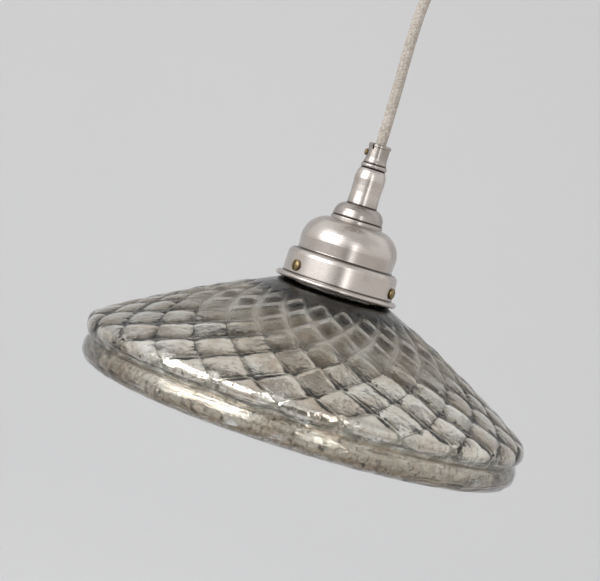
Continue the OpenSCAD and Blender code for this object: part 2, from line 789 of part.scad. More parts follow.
module holder_insulator() {
    color(porcelain)
        difference() {
            translate([0, 0, z_insulator])
                cylinder(r = insulator_r, h = z_terminals - z_insulator);
            translate([0, 0, z_insulator - 1])
                cylinder(r = shell_r + shell_t + fit, h = z_disc - z_insulator + 1);
            translate([0, 0, z_disc - 1]) cylinder(r = 1.6, h = disc_h + 2);
            for (a = [45:90:315])
                rotate([0, 0, a]) translate([insulator_r, 0, z_terminals - 1.5])
                    cylinder(r = 2.5, h = 3);
        }
}

module holder_terminals() {
    color(clean_brass)
        for (side = [-1, 1])
            translate([side * terminal_x, 0, z_terminals])
                difference() {
                    union() {
                        translate([-2.5, -3, 0]) cube([5, 6, terminal_h]);
                        translate([0, -1, 0]) rotate([90, 0, 0]) translate([0, 2, 0])
                            cylinder(r = 1.4, h = 3.4);
                    }
                    translate([0, 0.8, 1.5]) cylinder(r = core_r + 0.2, h = terminal_h);
                }
}

module screw_shell() {
    color(clean_brass)
        translate([0, 0, z_insulator + 0.8])
            difference() {
                cylinder(r = shell_r + shell_t, h = z_disc - z_insulator - 0.8);
                translate([0, 0, -1])
                    cylinder(r = shell_r, h = z_disc - z_insulator - 0.8 + 1 - shell_t);
                cylinder(r = 5, h = 60);
            }
}

z_contact = z_disc - 2;                    // lower face of the centre contact

module centre_contact() {
    color(clean_brass)
        union() {
            translate([0, 0, z_contact]) cylinder(r = 3.6, h = 2);
            translate([0, 0, z_contact]) cylinder(r = 1.5, h = 2 + disc_h);
        }
}

// A core's way from the end of the flex down to its terminal.
function lamp_core_route(side) =
    let (a = core_seat(side), z = z_lamp_flex_end, x = side * terminal_x)
    [[a[0], a[1], z], [a[0], a[1], z - 0.6], [a[0] + side * 0.6, a[1], z - 1.4],
     [x * 0.45, 0.6, z - 1.9], [x * 0.75, 0.8, z - 2.3], [x * 0.93, 0.8, z - 3],
     [x, 0.8, z - 4.2], [x, 0.8, z_terminals + terminal_h - 2]];

module lamp_core_line() { color("saddlebrown") core(lamp_core_route(-1)); }
module lamp_core_neutral() { color("royalblue") core(lamp_core_route(1)); }

// The earth post hangs from the cap, with a cross hole for its core.
earth_y = -(holder_r - 7.5);
earth_r = 2.2;
earth_h = 4.4;
z_earth_hole = z_holder - holder_wall - earth_h / 2;

module earth_post() {
    color(clean_brass)
        translate([0, earth_y, z_holder - holder_wall - earth_h])
            difference() {
                cylinder(r = earth_r, h = earth_h);
                translate([0, 0, earth_h / 2])
                    rotate([90, 0, 0]) cylinder(r = core_r + 0.15, h = 10, center = true);
            }
}

module lamp_core_earth() {
    a = core_seat(0);
    z = z_lamp_flex_end;
    color("yellowgreen")
        core([[a[0], a[1], z], [a[0], a[1], z - 0.6], [0, a[1] - 0.7, z - 1.3],
              [0, -3.4, z - 1.5], [0, -5.6, z - 1.1], [0, earth_y + 4.4, z_earth_hole - 0.4],
              [0, earth_y + 3, z_earth_hole], [0, earth_y, z_earth_hole]]);
}

// ---------------------------------------------------------------- bulb

z_cap_top = z_contact - seat;              // top of the bulb's own contact
cap_l = 25;
z_cap_foot = z_cap_top - cap_l;
cap_t = 0.35;
throat_r = cap_r - cap_t - 0.15;           // radius of the glass neck inside the cap
globe_t = 0.8;
neck_round = 9;                            // hollow rounding between neck and globe
z_neck_foot = z_cap_foot - 0.5;
z_globe = z_neck_foot - sqrt(pow(globe_r + neck_round, 2) - pow(throat_r + neck_round, 2));
stick_ring = 7;
stick_r = 0.9;
wire_r = 0.35;
z_sticks = z_globe - stick_l / 2;

module bulb_cap() {
    outside = [[8.6, z_cap_top - 3.4], [cap_r - 1.2, z_cap_top - 5.6], [cap_r, z_cap_top - 7],
               [cap_r, z_cap_foot + 2.5], [cap_r + 0.1, z_cap_foot]];
    color(zinc) spun(outside, cap_t);
}

module bulb_insulator() {
    color([0.12, 0.11, 0.13])
        rotate_extrude()
            polygon([[0, z_cap_top - 3.6], [8.2, z_cap_top - 3.6], [8.4, z_cap_top - 3.1],
                     [5, z_cap_top - 1.1], [0, z_cap_top - 1.1]]);
}

module bulb_contact() {
    color(zinc)
        translate([0, 0, z_cap_top - 1.1])
            rotate_extrude()
                polygon([[0, 0], [4.6, 0], [4.2, 0.7], [3, 1.1], [0, 1.1]]);
}

// The bulb's glass, t inside its outer face.
function globe_outline(t) =
    let (meet = asin((throat_r + neck_round) / (globe_r + neck_round)),
         c = [throat_r + neck_round, z_neck_foot])
    concat([[throat_r - t, z_cap_foot + 10]],
           arc(c, neck_round + t, -90, meet - 180, 5),
           arc([0, z_globe], globe_r - t, meet + 8, 180, 16));

module bulb_globe() {
    color(clear_glass)
        rotate_extrude()
            polygon(concat(globe_outline(0), flip(globe_outline(globe_t))));
}

module bulb_stem() {
    z_top = z_cap_foot + 9.6;
    color(clear_glass)
        rotate_extrude()
            polygon([[0, z_top], [throat_r - globe_t - 0.2, z_top],
                     [throat_r - globe_t - 0.2, z_top - 0.8], [5, z_top - 2.4], [3, z_top - 6],
                     [2.4, z_globe + stick_l / 2 + 3], [1, z_globe + stick_l / 2 + 1.4],
                     [1, z_sticks - 1.4], [0, z_sticks - 1.4]]);
}

module bulb_wires() {
    color([0.6, 0.6, 0.62])
        for (end = [z_sticks - 1, z_sticks + stick_l + 1], a = [45:90:315])
            translate([0, 0, end])
                rotate([0, 90, a])
                    translate([0, 0, end < z_globe ? 1.2 : 2.8])
                        cylinder(r = wire_r, h = stick_ring + wire_r - (end < z_globe ? 1.2 : 2.8));
}

module bulb_sticks() {
    color([0.93, 0.80, 0.35])
        for (a = [45:90:315])
            rotate([0, 0, a])
                translate([stick_ring, 0, z_sticks - 0.5]) cylinder(r = stick_r, h = stick_l + 1);
}

rose_cup();
rose_bracket();
rose_side_screw_left();
rose_side_screw_right();
rose_cord_grip();
rose_grip_nut();
rose_grip_screw();
rose_flex();
rose_core_line();
rose_core_neutral();
rose_core_earth();
terminal_block();
terminal_tubes();
terminal_screws();
flex();
cord_grip();
grip_screw();
collar_ring();
sleeve();
domed_collar();
nipple();
gallery();
gallery_nut();
gallery_screw_left();
gallery_screw_right();
gallery_screw_back();
shade();
holder_cap();
holder_skirt();
holder_insulator();
holder_terminals();
screw_shell();
centre_contact();
earth_post();
lamp_flex();
lamp_core_line();
lamp_core_neutral();
lamp_core_earth();
bulb_cap();
bulb_insulator();
bulb_contact();
bulb_globe();
bulb_stem();
bulb_wires();
bulb_sticks();
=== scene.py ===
# %% [markdown]
# # A pendant light with a quilted, silvered glass shade
#
# The construction of this light comes in as a fixed frame of solid parts, already at their real
# size and place. This lesson dresses it: it rebuilds the pieces whose surface needs more than the
# frame holds, gives every part its finish, and sets up a small studio round it.

# %% Load the frame
import json
import math

import bpy
import numpy as np
from mathutils import Matrix, Vector


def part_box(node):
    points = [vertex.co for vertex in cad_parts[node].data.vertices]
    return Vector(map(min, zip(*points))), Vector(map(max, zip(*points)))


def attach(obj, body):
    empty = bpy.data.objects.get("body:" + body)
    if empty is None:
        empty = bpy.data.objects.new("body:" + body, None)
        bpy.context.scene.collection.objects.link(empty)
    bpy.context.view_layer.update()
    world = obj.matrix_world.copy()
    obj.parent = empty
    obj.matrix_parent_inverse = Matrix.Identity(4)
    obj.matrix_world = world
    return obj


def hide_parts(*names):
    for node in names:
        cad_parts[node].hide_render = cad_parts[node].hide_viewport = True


MM = 0.001
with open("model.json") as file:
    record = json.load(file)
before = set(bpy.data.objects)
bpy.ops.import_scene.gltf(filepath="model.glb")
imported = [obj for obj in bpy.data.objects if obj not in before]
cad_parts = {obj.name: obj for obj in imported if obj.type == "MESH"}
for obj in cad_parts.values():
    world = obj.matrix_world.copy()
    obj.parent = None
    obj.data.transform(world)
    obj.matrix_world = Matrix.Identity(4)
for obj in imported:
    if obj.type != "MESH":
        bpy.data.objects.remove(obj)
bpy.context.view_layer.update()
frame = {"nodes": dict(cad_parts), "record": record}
nodes = frame["nodes"]

# %% [markdown]
# ## Landmarks
#
# The origin is on the ceiling, and everything hangs below it. The heights that several pieces
# share are read from the frame's boxes: the rolled lip of the gallery, the top of the cord grip,
# the foot of the ceiling rose's grip and the rim of the shade.

# %% Read the landmarks
LIP_HALF = 1.4 * MM


def height_of(node, end):
    """Lowest (0) or highest (1) z of a node, in metres."""
    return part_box(node)[end].z


lip_z = height_of("gallery", 0) + LIP_HALF
grip_top = height_of("cord_grip", 1)
swing_z = height_of("rose_cord_grip", 0)
rim_z = height_of("shade", 0)
print("lip", round(lip_z / MM, 2), "grip", round(grip_top / MM, 2), "rim", round(rim_z / MM, 2))

# %% [markdown]
# ## Camera
#
# The light is seen almost level, from a little above its gallery, through a long lens from less
# than a metre away. The camera is rolled by 17 degrees, so the upright light leans in the view.

# %% Place the camera
CAMERA_DISTANCE = 0.85
CAMERA_ABOVE_LIP = 0.032
AIM_LEFT = 0.0184
AIM_BELOW_LIP = 0.0071
ROLL = math.radians(17.3)
LENS = 93.4

camera_data = bpy.data.cameras.new("camera")
camera = bpy.data.objects.new("camera", camera_data)
bpy.context.scene.collection.objects.link(camera)
camera_data.lens = LENS
camera_data.clip_start = 0.05
eye = Vector((0, -CAMERA_DISTANCE, lip_z + CAMERA_ABOVE_LIP))
aim = Vector((-AIM_LEFT, 0, lip_z - AIM_BELOW_LIP))
turn = (aim - eye).to_track_quat("-Z", "Y")
camera.location = eye
camera.rotation_mode = "QUATERNION"
camera.rotation_quaternion = turn @ Matrix.Rotation(ROLL, 3, "Z").to_quaternion()
bpy.context.scene.camera = camera
print("camera at", [round(v, 3) for v in eye])

# %% [markdown]
# ## Helpers for pieces
#
# A finished piece has its place in its mesh and its object at the origin. `mesh_object` makes a
# piece from computed points and faces, `add_attribute` stores a number at each of its points, and
# `finish_piece` gives it its material and the body it moves with, and hides the frame node it
# stands for.


# %% Piece helpers
def mesh_object(name, points, faces):
    """A smooth piece from its points and faces."""
    mesh = bpy.data.meshes.new(name)
    mesh.from_pydata([tuple(p) for p in points], [], faces)
    mesh.validate()
    mesh.shade_smooth()
    piece = bpy.data.objects.new(name, mesh)
    bpy.context.scene.collection.objects.link(piece)
    return piece


def add_attribute(piece, name, values):
    """Stores one number for each point, for the piece's material to read."""
    attribute = piece.data.attributes.new(name, "FLOAT", "POINT")
    attribute.data.foreach_set("value", np.asarray(values, np.float32).reshape(-1))


def finish_piece(piece, material, body, replaced):
    """Gives a piece its material and body, and hides the frame node that it replaces."""
    piece.data.materials.clear()
    piece.data.materials.append(material)
    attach(piece, body)
    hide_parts(replaced)
    triangles = sum(len(p.vertices) - 2 for p in piece.data.polygons)
    print(piece.name, "has", triangles, "triangles")


# %% [markdown]
# ## Helpers for materials
#
# A material is a small graph of nodes. One function adds any node with its settings, values and
# links, and one turns the usual sRGB hex colours into the linear values that the renderer works
# in. Patterns read the piece's own coordinates in millimetres, so a noise scale is the number of
# its patches in a millimetre: 0.05 gives clouds about 20 mm across.

# %% Material helpers
MM_PER_M = 1000


def hex_colour(text):
    """An sRGB hex colour, such as "b8aea6", as linear red, green, blue, alpha."""
    parts = [int(text[i : i + 2], 16) / 255 for i in (0, 2, 4)]
    linear = [c / 12.92 if c <= 0.04045 else ((c + 0.055) / 1.055) ** 2.4 for c in parts]
    return (*linear, 1.0)


def grey(value):
    """A linear grey, for a ramp that drives a number."""
    return (value, value, value, 1.0)


def add_node(tree, kind, inputs=None, output=0, stops=(), **settings):
    """Adds a node and returns one of its outputs, by name or number.

    inputs are values, or outputs to link. stops are a ramp's positions and colours."""
    node = tree.nodes.new("ShaderNode" + kind)
    for key, value in settings.items():
        setattr(node, key, value)
    for key, value in (inputs or {}).items():
        if isinstance(value, bpy.types.NodeSocket):
            tree.links.new(value, node.inputs[key])
        else:
            node.inputs[key].default_value = value
    while stops and len(node.color_ramp.elements) < len(stops):
        node.color_ramp.elements.new(1.0)
    for number, (position, colour) in enumerate(stops):
        element = node.color_ramp.elements[number]
        element.position = position
        element.color = hex_colour(colour) if isinstance(colour, str) else colour
    return node.outputs[output]


def new_material(name, **surface):
    """A Principled material; surface gives values for its shader's sockets."""
    material = bpy.data.materials.new(name)
    material.use_nodes = True
    shader = material.node_tree.nodes["Principled BSDF"]
    for key, value in surface.items():
        shader.inputs[key.replace("_", " ")].default_value = value
    return material, material.node_tree, shader


def connect(tree, shader, **sockets):
    """Links outputs to the shader's sockets."""
    for key, value in sockets.items():
        tree.links.new(value, shader.inputs[key.replace("_", " ")])


def object_point(tree, stretch=(1, 1, 1)):
    """The piece's own coordinates in millimetres, stretched."""
    point = add_node(tree, "TexCoord", output="Object")
    size = tuple(MM_PER_M * s for s in stretch)
    return add_node(tree, "Mapping", {"Vector": point, "Scale": size})


# The Mix node has a set of sockets for each kind of data; these are the ones for colours
FACTOR, FIRST, SECOND, MIXED = 0, 6, 7, 2
BLEND = {"data_type": "RGBA", "blend_type": "MIX", "output": MIXED}
TINT = {"data_type": "RGBA", "blend_type": "MULTIPLY", "output": MIXED}
print("half sRGB grey is linear", round(hex_colour("808080")[0], 3))

# %% [markdown]
# ## The flex
#
# The lamp hangs on a braided textile flex, 6 mm thick: three insulated cores in a sleeve of
# natural linen. Its weight holds it almost straight. A curve with a round bevel would be quick,
# but its braid would be paint. Here it is a swept tube whose surface is lifted where one strand
# of the braid passes over another, so the weave is real geometry.

# %% The flex's line
FLEX_DIAMETER = 0.006
FLEX_IN_GRIP = 0.002
FLEX_FOOT = grip_top - FLEX_IN_GRIP
FLEX_LENGTH = swing_z - FLEX_FOOT
# Shares of the length from the foot up, and how far the flex bows sideways there in millimetres
FLEX_BOW = [(0, 0), (0.1, 0), (0.25, -0.2), (0.4, -0.5), (0.55, -0.9), (0.7, -1.1),
            (0.85, -0.8), (0.95, -0.2), (1, 0)]
FLEX_PATH_POINTS = 33


def flex_centre(share):
    """Sideways place of the flex at a share of its length, on a smooth line through the bow."""
    xs = np.array([b[0] for b in FLEX_BOW])
    ys = np.array([b[1] for b in FLEX_BOW]) * MM
    slopes = np.gradient(ys, xs)
    slopes[[0, 1, -1]] = 0
    i = np.clip(np.searchsorted(xs, share, side="right") - 1, 0, len(xs) - 2)
    h = xs[i + 1] - xs[i]
    t = (share - xs[i]) / h
    return (ys[i] * (1 + 2 * t) * (1 - t) ** 2 + h * slopes[i] * t * (1 - t) ** 2
            + ys[i + 1] * t * t * (3 - 2 * t) + h * slopes[i + 1] * t * t * (t - 1))


flex_path = [(float(flex_centre(s)), 0.0, float(FLEX_FOOT + s * FLEX_LENGTH))
             for s in np.linspace(1, 0, FLEX_PATH_POINTS)]
print("length of the flex in mm:", round(FLEX_LENGTH / MM, 1))

# %% Sweep the braided flex
BRAID_STRANDS = 16
BRAID_SIDES = 96
BRAID_PITCH = 9 * MM
BRAID_STEP = 0.25 * MM
BRAID_LIFT = 0.22 * MM
# Added to the strands that wind the other way, so that no two strands share a number
OTHER_WAY = 57
END_CAP = [math.radians(a) for a in (20, 40, 60, 75)]


def braid(angle, along):
    """Lift of a two-over-two-under braid, 0 to 1, and which strand lies on top."""
    a = BRAID_STRANDS * (angle / math.tau + along / BRAID_PITCH)
    b = BRAID_STRANDS * (angle / math.tau - along / BRAID_PITCH)
    over = np.floor(a).astype(int) + np.floor(b).astype(int)
    a_on_top = (over % 4) < 2
    round_a = np.sqrt(np.clip(1 - (2 * (a % 1) - 1) ** 2, 0, 1))
    round_b = np.sqrt(np.clip(1 - (2 * (b % 1) - 1) ** 2, 0, 1))
    lift = np.where(a_on_top, round_a, round_b)
    strand = np.where(a_on_top, np.floor(a), np.floor(b) + OTHER_WAY)
    return lift, strand


def sweep_flex():
    """The tube, closed by a round cap at its upper end, with its two attributes."""
    half = FLEX_DIAMETER / 2
    rings = int(round(FLEX_LENGTH / BRAID_STEP))
    share = np.linspace(0, 1, rings + 1)[:, None]
    angle = (np.arange(BRAID_SIDES) * math.tau / BRAID_SIDES)[None, :]
    lift, strand = braid(angle, share * FLEX_LENGTH)
    radius = half - BRAID_LIFT * (1 - lift)
    x = flex_centre(share) + radius * np.cos(angle)
    y = radius * np.sin(angle)
    z = np.repeat(FLEX_FOOT + share * FLEX_LENGTH, BRAID_SIDES, axis=1)
    caps = [np.stack([half * math.cos(c) * np.cos(angle[0]), half * math.cos(c) * np.sin(angle[0]),
                      np.full(BRAID_SIDES, swing_z + half * math.sin(c))], axis=-1)
            for c in END_CAP]
    points = np.concatenate([np.stack([x, y, z], axis=-1), np.array(caps)])
    index = np.arange(len(points) * BRAID_SIDES).reshape(-1, BRAID_SIDES)
    after = np.roll(index, -1, axis=1)
    quads = np.stack([index[:-1], after[:-1], after[1:], index[1:]], axis=-1).reshape(-1, 4)
    faces = quads.tolist() + [index[0][::-1].tolist(), index[-1].tolist()]
    piece = mesh_object("braided_flex", points.reshape(-1, 3), faces)
    on_caps = (len(END_CAP), BRAID_SIDES)
    # The far digits of a large sine are as good as drawn by chance: a shade for each strand
    number = np.concatenate([strand, np.zeros(on_caps)])
    add_attribute(piece, "strand", (np.sin(number * 12.9898) * 43758.5453) % 1)
    add_attribute(piece, "lift", np.concatenate([lift, np.ones(on_caps)]))
    return piece


flex = sweep_flex()
print("points on the flex:", len(flex.data.vertices))

# %% [markdown]
# ## Linen braid
#
# The sleeve is spun linen thread: matte, with a soft edge of loose fibres, each strand its own
# shade of greige, and dark between the strands, where little light gets in. A woven texture would
# have to be lined up with the strands. The two attributes of the sweep already tell the material
# which strand it is on and how deep.


# %% Finish the flex
def braid_material():
    """Linen thread: no shine, a faint sheen of fibres, each strand its own shade."""
    material, tree, shader = new_material(
        "linen_braid", Roughness=0.85, Sheen_Weight=0.25, Sheen_Roughness=0.5)
    strand = add_node(tree, "Attribute", output="Fac", attribute_name="strand")
    lift = add_node(tree, "Attribute", output="Fac", attribute_name="lift")
    thread = add_node(tree, "ValToRGB", {"Fac": strand}, stops=[
        (0.0, "b8afa6"), (0.35, "ccc3ba"), (0.7, "dad3ca"), (1.0, "ebe6df")])
    # Linen fibres are far finer; they are drawn 0.4 mm apart so that they show
    fibre = add_node(tree, "TexNoise", {
        "Vector": object_point(tree), "Scale": 2.4, "Detail": 6, "Roughness": 0.7})
    fibres = add_node(tree, "ValToRGB", {"Fac": fibre}, stops=[(0.3, "a39b92"), (0.7, "ffffff")])
    worn = add_node(tree, "Mix", {FACTOR: 0.7, FIRST: thread, SECOND: fibres}, **TINT)
    shadow = add_node(tree, "ValToRGB", {"Fac": lift}, stops=[(0.0, "6a6058"), (0.7, "ffffff")])
    colour = add_node(tree, "Mix", {FACTOR: 1.0, FIRST: worn, SECOND: shadow}, **TINT)
    fuzz = add_node(tree, "Bump", {"Height": fibre, "Strength": 0.5, "Distance": 0.1 * MM})
    connect(tree, shader, Base_Color=colour, Normal=fuzz)
    return material


linen_braid = braid_material()
finish_piece(flex, linen_braid, "pendant", "flex")

# %% [markdown]
# ## The shade
#
# The shade is one thick wall of clear glass, blown into a mould and silvered on its inside. Seen
# from the side, its line is a chain of arcs: an almost straight cone, a round shoulder, a groove
# and a bead round the rim. The mould gave it 24 rounds of diamonds: crossing grooves with a small
# pillow between them. A spun profile with a bump pattern would leave its outline smooth, so the
# wall is computed as a grid instead, and its edge is scalloped as the real one is.

# %% The shade's line
SHADE_R = 123.7 * MM
NECK_R = 26.5 * MM
NECK_WALL = 3 * MM
NECK_LIP_R = 28.5 * MM
NECK_LIP_H = 3 * MM
NECK_LIP_Z = 8.4 * MM
NECK_LIP_EDGE = 0.7 * MM
NECK_H = 9.2 * MM
NECK_FILLET = 2.5 * MM
GLASS_T = 3.4 * MM
SLOPE_TOP = math.radians(24.5)
SLOPE_FOOT = math.radians(31)
SHOULDER_ROUND = 7.8 * MM
SHOULDER_END = math.radians(140)
BEAD_ROUND = 8.3 * MM
GROOVE_DROP = 0.4 * MM
GROOVE_END = math.radians(50)
BEAD_END = math.radians(205)


def on_arc(centre, radius, slope):
    """A point of a profile arc; slope 0 is its top, 90 degrees its outer side."""
    return (centre[0] + radius * math.sin(slope), centre[1] + radius * math.cos(slope))


def profile_arc(centre, radius, start, end, steps):
    """Points of a profile arc from one slope to another."""
    return [on_arc(centre, radius, start + (end - start) * i / steps) for i in range(steps + 1)]


neck_lip_z = lip_z + NECK_LIP_Z
neck_bore = NECK_R - NECK_WALL
cone_top = (NECK_R + NECK_FILLET * (1 - math.sin(SLOPE_TOP)), neck_lip_z - NECK_H)
cone_foot_r = SHADE_R - SHOULDER_ROUND * (1 - math.sin(SLOPE_FOOT))
cone_round = (cone_foot_r - cone_top[0]) / (math.sin(SLOPE_FOOT) - math.sin(SLOPE_TOP))
cone_centre = (cone_top[0] - cone_round * math.sin(SLOPE_TOP),
               cone_top[1] - cone_round * math.cos(SLOPE_TOP))
cone_foot = on_arc(cone_centre, cone_round, SLOPE_FOOT)
shoulder_centre = (cone_foot[0] - SHOULDER_ROUND * math.sin(SLOPE_FOOT),
                   cone_foot[1] - SHOULDER_ROUND * math.cos(SLOPE_FOOT))
shoulder_foot = on_arc(shoulder_centre, SHOULDER_ROUND, SHOULDER_END)
bead_top = (shoulder_foot[0], shoulder_foot[1] - GROOVE_DROP)
bead_centre = (bead_top[0] - BEAD_ROUND * math.sin(GROOVE_END),
               bead_top[1] - BEAD_ROUND * math.cos(GROOVE_END))
print("radius of the cone's arc in mm:", round(cone_round / MM, 1))

# %% [markdown]
# ## The way up the wall
#
# The pillows are laid out by how far one climbs along the wall, not by height, so that they keep
# their size where the wall turns. The climb is measured from the widest line of the shoulder.

# %% Measure the climb
DIAMONDS = 24
CROSSING_ROWS = 8
QUILT_PHASE = math.radians(-5)
QUILT_FOOT = 1.2 * MM
QUILT_TOP_R = 41 * MM
SHOULDER_STEPS = 300
CONE_STEPS = 600


def walk_up():
    """Climb along the quilted wall from its widest line, with radius, height and slope."""
    slopes = np.concatenate([np.linspace(SHOULDER_END, SLOPE_FOOT, SHOULDER_STEPS),
                             np.linspace(SLOPE_FOOT, SLOPE_TOP, CONE_STEPS)[1:]])
    on_shoulder = np.arange(len(slopes)) < SHOULDER_STEPS
    centre_r = np.where(on_shoulder, shoulder_centre[0], cone_centre[0])
    centre_z = np.where(on_shoulder, shoulder_centre[1], cone_centre[1])
    size = np.where(on_shoulder, SHOULDER_ROUND, cone_round)
    r = centre_r + size * np.sin(slopes)
    z = centre_z + size * np.cos(slopes)
    climb = np.concatenate([[0], np.cumsum(np.hypot(np.diff(r), np.diff(z)))])
    climb -= np.interp(-math.pi / 2, -slopes, climb)
    return climb, r, z, slopes


def climb_to(radius):
    """The climb to a radius on the cone."""
    return np.interp(-radius, -walk[1][SHOULDER_STEPS:], walk[0][SHOULDER_STEPS:])


walk = walk_up()
foot_climb = walk[0][0]
top_climb = climb_to(QUILT_TOP_R)
level_climb = (top_climb - QUILT_FOOT) / CROSSING_ROWS
print("one row of crossings in mm:", round(level_climb / MM, 2))

# %% [markdown]
# ## The quilted grid
#
# A diamond pattern has two families of grooves, u and v, that climb to the right and to the left.
# A grid point is u lines along one family and v along the other: their mean gives its angle round
# the shade, and their difference how far up the wall it lies. The mesh then runs along the
# grooves, so every groove is a clean line and no face crosses it. Lines are closer beside a
# groove, where the surface turns quickly.

# %% Build the quilted grid
LINES = [0, 0.03, 0.065, 0.11, 0.19, 0.33, 0.5, 0.67, 0.81, 0.89, 0.935, 0.97]
PER_CELL = len(LINES)
AROUND = DIAMONDS * PER_CELL
GRID_FOOT = -PER_CELL // 2
GRID_TOP = CROSSING_ROWS * PER_CELL
GRID_ROWS = GRID_TOP - GRID_FOOT + 1


def grid_line(i):
    """Place of grid line i, in cells."""
    return np.floor_divide(i, PER_CELL) + np.array(LINES)[np.mod(i, PER_CELL)]


def quilt_grid():
    """u, v, climb and angle of every grid point, as rows from the foot to the top."""
    d, i = np.meshgrid(np.arange(GRID_FOOT, GRID_TOP + 1), np.arange(AROUND), indexing="ij")
    u = grid_line(i)
    v = grid_line(i - d)
    level = u - v
    edge = np.clip((d - GRID_FOOT) / -GRID_FOOT, 0, 1)
    level = edge * level + (1 - edge) * d / PER_CELL
    below = QUILT_FOOT + (foot_climb - QUILT_FOOT) * level * PER_CELL / GRID_FOOT
    climb = np.where(level < 0, below, QUILT_FOOT + level * level_climb)
    angle = QUILT_PHASE + (u + v) * math.tau / DIAMONDS / 2
    return u, v, climb, angle


def grid_faces(offset=0, flip=False):
    """Faces of the quilted grid: diamonds inside, and triangles along its first and last row."""
    index = np.arange(GRID_ROWS * AROUND).reshape(GRID_ROWS, AROUND) + offset
    right = np.roll(index, -1, axis=1)
    diamonds = np.stack([index[1:-1], index[:-2], right[1:-1], right[2:]], axis=-1)
    foot = np.stack([index[0], right[0], right[1]], axis=-1)
    top = np.stack([index[-1], index[-2], right[-1]], axis=-1)
    faces = diamonds.reshape(-1, 4).tolist() + foot.tolist() + top.tolist()
    return [f[::-1] for f in faces] if flip else faces


print("grid:", AROUND, "by", GRID_ROWS)

# %% [markdown]
# ## Pillows, grooves and unevenness
#
# Each pillow is flat on top with steep sides, as glass is that was blown into a cut mould. Blown
# glass is also never quite even: many shallow waves with random ways and phases are added up.

# %% The surface between the grooves
WAVES = 24
WAVE_SIZES = (0.6, 1.8)


def smooth(x):
    """A soft step from 0 to 1."""
    x = np.clip(x, 0, 1)
    return x * x * (3 - 2 * x)


def quilt_relief(u, v, sharp):
    """Height of the mould's pillows, 0 in the grooves. The higher sharp, the steeper their sides.

    Diamonds that would pass the top row are left out."""
    sides = [1 - np.abs(2 * (w % 1) - 1) ** sharp for w in (u, v)]
    middle = np.floor(u + 1e-6) - np.floor(v + 1e-6)
    return np.where(middle + 1 > CROSSING_ROWS, 0, sides[0] * sides[1])


def groove_line(u, v, width):
    """1 in the middle of a groove, 0 from a width of it on, in cells."""
    near = [np.minimum(w % 1, 1 - w % 1) for w in (u, v)]
    return 1 - smooth(np.minimum(*near) / width)


def ripples(points, size, seed):
    """Gentle unevenness of blown glass: many shallow waves with random ways and phases."""
    chance = np.random.default_rng(seed)
    total = np.zeros(points.shape[:-1])
    for _ in range(WAVES):
        way = chance.normal(size=3)
        way *= math.tau / (size * chance.uniform(*WAVE_SIZES)) / np.linalg.norm(way)
        total += np.sin(points @ way + chance.uniform(0, math.tau))
    return total / math.sqrt(WAVES / 2)


print("height in the middle of a pillow:", float(quilt_relief(0.5, 0.5, 2)))

# %% [markdown]
# ## The two sides of the wall
#
# The outside took the mould's crisp diamonds. The inside only follows them faintly, and the glass
# grows thicker towards the neck there, so the silvering leans in and mirrors the gallery above
# it. The grooves wander a little, and near the neck the cold mould left them dull: the wall keeps
# how near each point is to a groove, for the two materials to read.

# %% Lay the wall over the grid
# How high the pillows stand, how steep their sides are, how deep a line is cut along the
# grooves, and how much thicker the glass grows at the neck
NECK_SWELL = 3 * MM
OUTSIDE = {"relief": 1.35 * MM, "sharp": 2.6, "cut": 0.35 * MM, "swell": 0, "seed": 1}
INSIDE = {"relief": 0.25 * MM, "sharp": 2, "cut": 0, "swell": NECK_SWELL, "seed": 2}
SWELL_FOOT_R = 92 * MM
RELIEF_MIDDLE = 0.4
RELIEF_FADE = 3 * MM
NECK_RELIEF = 0.1
WOBBLE, WOBBLE_SIZE = 0.5 * MM, 40 * MM
WOBBLE_FADE_FOOT, WOBBLE_FADE_TOP = 6 * MM, 8 * MM
RIPPLE, RIPPLE_SIZE = 0.09 * MM, 14 * MM
FOOT_RIPPLE_SIZE, FOOT_RIPPLE_SHARE = 6 * MM, 0.15
CUT_WIDTH, GROOVE_WIDTH, DULL_WIDTH = 0.055, 0.1, 0.3
# Shares of the climb where the cut grooves begin to fade and the dull ones to show, and how
# long both take
CUT_FADES, DULL_STARTS, GROOVE_FADE = 0.5, 0.4, 0.3
# Rows of the grid over which the ripples die out
RIPPLE_FADE_TOP, RIPPLE_FADE_FOOT = 8, 5

swell_climb = climb_to(SWELL_FOOT_R)


def turned(r, angle, z):
    """Points at a radius, an angle from the front and a height."""
    return np.stack([r * np.sin(angle), -r * np.cos(angle), z], axis=-1)


